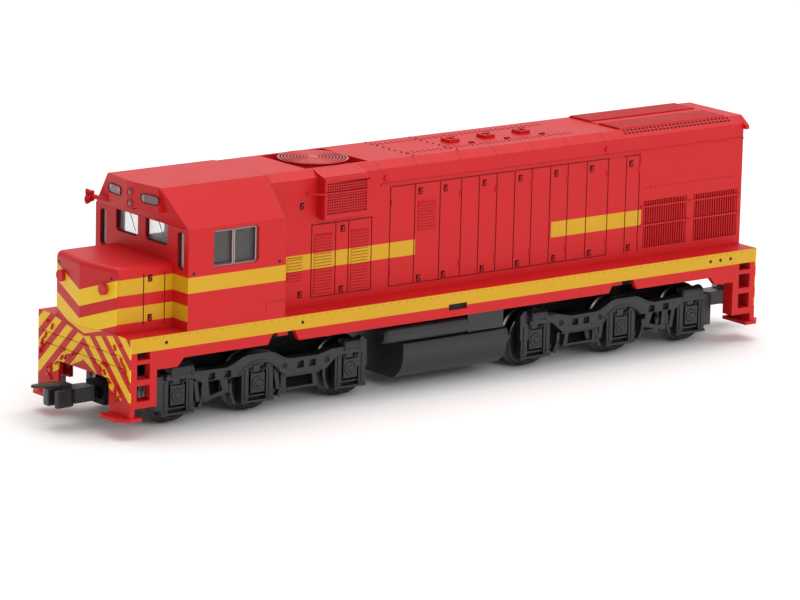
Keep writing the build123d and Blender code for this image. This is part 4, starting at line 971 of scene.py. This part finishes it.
def pilot_fittings(e, end):
    """Hose stubs and cut lever on the end plate, in plain red."""
    bumps = Piece()
    for s in (-1, 1):
        for y, z, r in STUBS:
            bumps.lathe([(-0.05, r), (0.35, r * 0.9), (0.5, r * 0.5)], (e * BODY_X, s * y, z),
                        (e, 0, 0), 14)
        for points, r in RODS:
            bumps.tube([(e * (BODY_X + ROD_OUT), s * y, z) for y, z in points], r, 10)
    bumps.build(f"{end}_pilot_fittings", RED)


# ---- wheels
# turned tyre and dished disc: distance out from the wheel's back, radius
TYRE = ((0.0, 5.2), (0.0, 5.9), (0.08, 6.2), (0.3, FLANGE_R), (0.5, 6.4), (0.72, 5.95), (1.0, 5.76),
        (2.7, WHEEL_R), (2.76, 5.62), (2.6, 5.5), (2.5, 5.2))
DISC = ((0.02, 0.02), (0.02, 5.3), (2.72, 5.5), (2.8, 5.4), (2.8, 4.9), (2.45, 4.7), (2.35, 2.6),
        (2.75, 2.3), (2.8, 1.2), (2.8, 0.02))
AXLE = ((0, 0.02), (0, 0.999), (2 * WHEEL_BACK, 0.999), (2 * WHEEL_BACK, 0.02))


def wheelset(end, i, x):
    """Axle and dished discs as one piece, bright tyres as another."""
    disc, tyre = Piece(), Piece()
    disc.lathe(AXLE, (x, -WHEEL_BACK, AXLE_Z), (0, 1, 0), 24)
    for s in (-1, 1):
        place = (x, s * WHEEL_BACK, AXLE_Z)
        disc.lathe(DISC, place, (0, s, 0), 64)
        tyre.lathe(TYRE, place, (0, s, 0), 72, caps=False)
    disc.build(f"{end}_wheels_{i}", METAL, "wheel_metal", f"{end}_wheelset_{i}",
               replaces=f"{end}_wheelset_{i}")
    tyre.build(f"{end}_tyres_{i}", TREAD, "wheel_metal", f"{end}_wheelset_{i}")


# ---- truck side frames
# x counts from the pivot to the outer end, y from the middle of the truck outward
BRAKES, BRAKE_Y, BRAKE_Z, BRAKE_R = ((17.4, 23.3), (-24.5, -20.0)), 11.85, 11.65, 1.42
PORTS = ((-5.3, 9.35), (-16.05, 9.35))
Y_PEDESTAL, Y_BEAM, FLANGE_W, FLANGE_Y = 12.0, 12.7, (0.42, 0.34), (-0.05, 0.16)
# raised flange along the beam's top: x, z
BEAM_TOP = ((24.0, 11.2), (9.3, 10.9), (7.6, 11.4), (5.4, 12.5), (4.2, 12.8), (-1.6, 12.8),
            (-2.7, 12.5), (-5.0, 11.2), (-6.3, 10.8), (-13.5, 10.7), (-17.2, 11.5), (-24.2, 11.5))
ARCH_R, ARCH_Z, ARCH_TURN = 6.4, 4.7, 52
AXLEBOX_HALF, AXLEBOX_Y, AXLEBOX_Z = 1.75, (11.0, 12.1), (4.55, 8.55)
AXLE_CAP = ((-0.1, 1.5), (0.16, 1.5), (0.26, 1.4), (0.26, 1.18), (0.1, 1.1), (0.1, 0.75),
            (0.3, 0.62), (0.36, 0.4), (0.36, 0.02))
CAP_BOLTS = (1.9, 2.1)  # reach of the four bolts: along x, along z
COIL = ((0, 0.4), (0.06, 0.5), (0.14, 0.5), (0.2, 0.4))
COILS, COIL_UP, COIL_X, COIL_Y = 4, 0.24, 1.35, 11.6
SEAT_X, SEAT_Y, SEAT_Z = 1.75, 11.7, 9.35  # bolt heads over the springs
LEG_X, LEG_HALF, LEG_Z, LEG_BOLTS = 3.05, 0.8, (2.5, 3.7), (2.95, 4.4, 6.4, 8.4)
WEAR_HALF, WEAR_Z, TIE_Z = 0.25, (3.4, 9.4), (2.5, 3.05)
BOLTS = ((22.2, 10.5), (17.6, 10.4), (15.2, 9.9), (6.4, 9.6), (-3.6, 9.6), (-7.6, 10.3),
         (-10.8, 10.2), (-14.0, 10.2), (-18.6, 10.9), (-7.5, 8.0), (-13.9, 8.0))
# brake shoes beside the wheels: axle, start and end angle about it
SHOES = ((20.8, 172, 212), (1.0, -34, 6), (1.0, 176, 214), (-22.5, -34, 6))
SHOE_R, SHOE_MID, SHOE_Y = (6.15, 6.85), 6.5, (10.5, 11.7)


def truck_details(e, end, s, side):
    """Axleboxes, springs, tie bars, flanges, brake gear, bolts and ports of one side frame."""
    covers, ports = Piece(), Piece()
    at = lambda x: e * (PIVOT_X + x)
    out = (0, s, 0)

    def plate(x0, x1, y0, y1, z0, z1):
        covers.box(*sorted((at(x0), at(x1))), *sorted((s * y0, s * y1)), z0, z1)

    def bolt(x, y, z, radius):
        rivet(covers, (at(x), s * y, z), out, radius)

    def strip(points, y0, y1):
        """Upright band of metal between pairs of points (x, z)."""
        covers.skin([[(at(x), s * y0, z), (at(x), s * y1, z),
                      (at(u), s * y1, w), (at(u), s * y0, w)] for (x, z), (u, w) in points])

    def bow(x, z, r0, r1, turns, y0, y1):
        """Curved band between two radii about x, z."""
        strip([((x + r0 * cos(a), z + r0 * sin(a)), (x + r1 * cos(a), z + r1 * sin(a)))
               for a in turns], y0, y1)

    for dx in AXLE_DX:
        plate(dx - AXLEBOX_HALF, dx + AXLEBOX_HALF, *AXLEBOX_Y, *AXLEBOX_Z)
        covers.lathe(AXLE_CAP, (at(dx), s * AXLEBOX_Y[1], AXLE_Z), out, 32)
        for k in range(4):
            turn = radians(90 * k + 45)
            rivet(covers, (at(dx) + cos(turn) * CAP_BOLTS[0], s * AXLEBOX_Y[1],
                           AXLE_Z + 0.05 + sin(turn) * CAP_BOLTS[1]), out, 0.16)
        for k in (-1, 1):
            for j in range(COILS):
                covers.lathe(COIL, (at(dx + COIL_X * k), s * COIL_Y, AXLEBOX_Z[1] + COIL_UP * j),
                             UP, 16)
            ports.lathe([(0, 0.42), (0.35, 0.42), (0.5, 0.25)],
                        (at(dx + SEAT_X * k), s * SEAT_Y, SEAT_Z), out, 16)
            x = dx + LEG_X * k
            plate(x - LEG_HALF, x + LEG_HALF, 10.7, Y_PEDESTAL - 0.05, *LEG_Z)
            plate(x - WEAR_HALF, x + WEAR_HALF, Y_PEDESTAL - 0.02, Y_PEDESTAL + 0.16, *WEAR_Z)
            for z in LEG_BOLTS:
                bolt(x + 0.5 * k, Y_PEDESTAL, z, 0.14)
        plate(dx - LEG_X - LEG_HALF - 0.2, dx + LEG_X + LEG_HALF + 0.2, 11.0, 12.2, *TIE_Z)
    flange = [Y_BEAM + y for y in FLANGE_Y]
    strip([((x, z), (x, z - FLANGE_W[0])) for x, z in BEAM_TOP], *flange)
    arc = [radians(90 + ARCH_TURN * (1 - k / 8)) for k in range(17)]
    bow(AXLE_DX[1], ARCH_Z, ARCH_R, ARCH_R + FLANGE_W[1], arc, *flange)
    for dx, low, high in SHOES:
        turns = [radians(low + (high - low) * k / 8) for k in range(9)]
        bow(dx, AXLE_Z, *SHOE_R, turns, *SHOE_Y)
        bolt(dx + SHOE_MID * cos(turns[4]), SHOE_Y[1], AXLE_Z + SHOE_MID * sin(turns[4]), 0.3)
    for x0, x1 in BRAKES:
        long, r = x1 - x0, BRAKE_R
        covers.lathe([(0, r - 0.5), (0.1, r - 0.1), (0.2, r), (0.65, r), (0.7, r - 0.16),
                      (long - 0.9, r - 0.16), (long - 0.85, r), (long - 0.3, r), (long, r - 0.5)],
                     (at(x0), s * BRAKE_Y, BRAKE_Z), (e, 0, 0), 36)
    for x, z in PORTS:
        ports.lathe([(-0.3, 0.5), (0.03, 0.5)], (at(x), s * Y_BEAM, z), out, 20)
        covers.lathe([(0, 0.72), (0.14, 0.66), (0.14, 0.52), (0, 0.5)], (at(x), s * Y_BEAM, z),
                     out, 20, caps=False)
    for x, z in BOLTS:
        bolt(x, Y_BEAM, z, 0.15)
    covers.build(f"{end}_truck_{side}_covers", BLACK, "dark_plastic", f"{end}_truck", bevel=0.05)
    # port discs and the bolt heads over the springs are near black: painted shade
    ports.build(f"{end}_truck_{side}_ports", DEEP_SHADE, "dark_plastic", f"{end}_truck")


# ---- fuel tank
TANK_X, TANK_Y, TANK_Z, NECK_Y, NECK_TOP = (-15.0, 12.6), 14.4, (2.6, 10.6), 11.9, 15.6
TANK_ROUND = (5.0, 5.6)  # rounding of the lower edge: across, up
FILLER = (11.9, 8.1, 0.9, 2.2)  # pipe stub: y, z, radius, length


def fuel_tank():
    """Tank with softly rounded lower edges, its neck and the filler stub."""
    tank = Piece()
    across, up = TANK_ROUND
    turns = [radians(9 * k) for k in range(11)]
    half = [(NECK_Y, NECK_TOP), (NECK_Y, TANK_Z[1] + 0.5), (TANK_Y - 0.4, TANK_Z[1]),
            (TANK_Y, TANK_Z[1] - 0.6)]
    half += [(TANK_Y - across * (1 - cos(a)), TANK_Z[0] + up * (1 - sin(a))) for a in turns]
    outline = half + [(-y, z) for y, z in reversed(half)]
    tank.prism([(TANK_X[0], y, z) for y, z in outline], (TANK_X[1] - TANK_X[0], 0, 0))
    y, z, radius, length = FILLER
    tank.lathe([(-0.1, radius), (length - 0.2, radius), (length, radius - 0.2)],
               (TANK_X[0], y, z), (-1, 0, 0), 24)
    tank.build("fuel_tank_shell", BLACK, "dark_plastic", bevel=0.12, replaces="fuel_tank")


# ---- couplers
COUPLER_X, COUPLER_Z = 76.0, 6.2
# outlines out from the pin: x, y
HEAD = ((9.6, -1.3), (10.3, -2.5), (11.2, -3.2), (12.8, -3.2), (14.3, -2.4), (14.9, -1.2),
        (14.8, 0.2), (12.4, 0.2), (12.4, 1.3), (9.6, 1.3))
HOOK = ((9.6, 1.3), (12.4, 1.3), (12.6, 1.9), (14.4, 1.9), (14.7, 2.3), (14.5, 3.1), (11.4, 3.1),
        (10.4, 2.6))
GUIDE = ((9.9, -1.0), (10.6, -2.4), (12.0, -3.2), (16.9, -2.75), (17.3, -2.3), (17.0, -1.75),
         (12.9, 0.5), (11.0, 0.6))
SHANK = ((-1.2, -1.1), (-0.9, -1.3), (8.6, -1.3), (10.0, -1.9), (10.0, 1.9), (8.6, 1.3),
         (-0.9, 1.3), (-1.2, 1.1))
BLOCK = ((4.8, -1.9), (9.8, -2.1), (9.8, 2.1), (4.8, 1.9))
# each outline's bottom and top from the middle of the shank
LAYERS = ((SHANK, -0.85, 0.85), (BLOCK, -1.2, 1.8), (HEAD, -1.4, 2.1), (HOOK, -1.4, 2.1),
          (GUIDE, 2.15, 2.75))
LUG_X, LUG_Y, LUG_Z = (10.0, 12.0), (-0.6, 1.4), (1.9, 2.9)
LIFT_PIN = ((0, 0.45), (1.6, 0.4), (1.7, 0.55), (2.0, 0.5), (2.1, 0.2))
PIN_X, PIN_Y, PIN_Z = 11.2, 0.3, 2.6


def coupler(e, end):
    """Horn-hook coupler: shank with its block, hooked head, thin guide plate and lift pin."""
    piece = Piece()
    for outline, z0, z1 in LAYERS:
        piece.prism([(e * (COUPLER_X + x), e * y, COUPLER_Z + z0) for x, y in outline],
                    (0, 0, z1 - z0))
    piece.box(*sorted(e * (COUPLER_X + x) for x in LUG_X), *LUG_Y, *(COUPLER_Z + z for z in LUG_Z))
    piece.lathe(LIFT_PIN, (e * (COUPLER_X + PIN_X), PIN_Y * e, COUPLER_Z + PIN_Z), UP, 16)
    piece.build(f"{end}_coupler_head", BLACK, "dark_plastic", f"{end}_coupler", bevel=0.1,
                replaces=f"{end}_coupler")


# ---- the pieces, in order
fan_guard()
for s, side in SIDES:
    for make in (louvres, radiator, filter_box, hardware, window_edge_highlights, sill_trim):
        make(s, side)
for make in (roof_rivets, roof_radiator_trim, cab_fittings, rear_lamps, number_boards, horn,
             fuel_tank):
    make()
for e, end in ENDS:
    pilot_fittings(e, end)
    coupler(e, end)
    for i, dx in enumerate(AXLE_DX, 1):
        wheelset(end, i, e * (PIVOT_X + dx))
    for s, side in SIDES:
        truck_details(e, end, s, side)
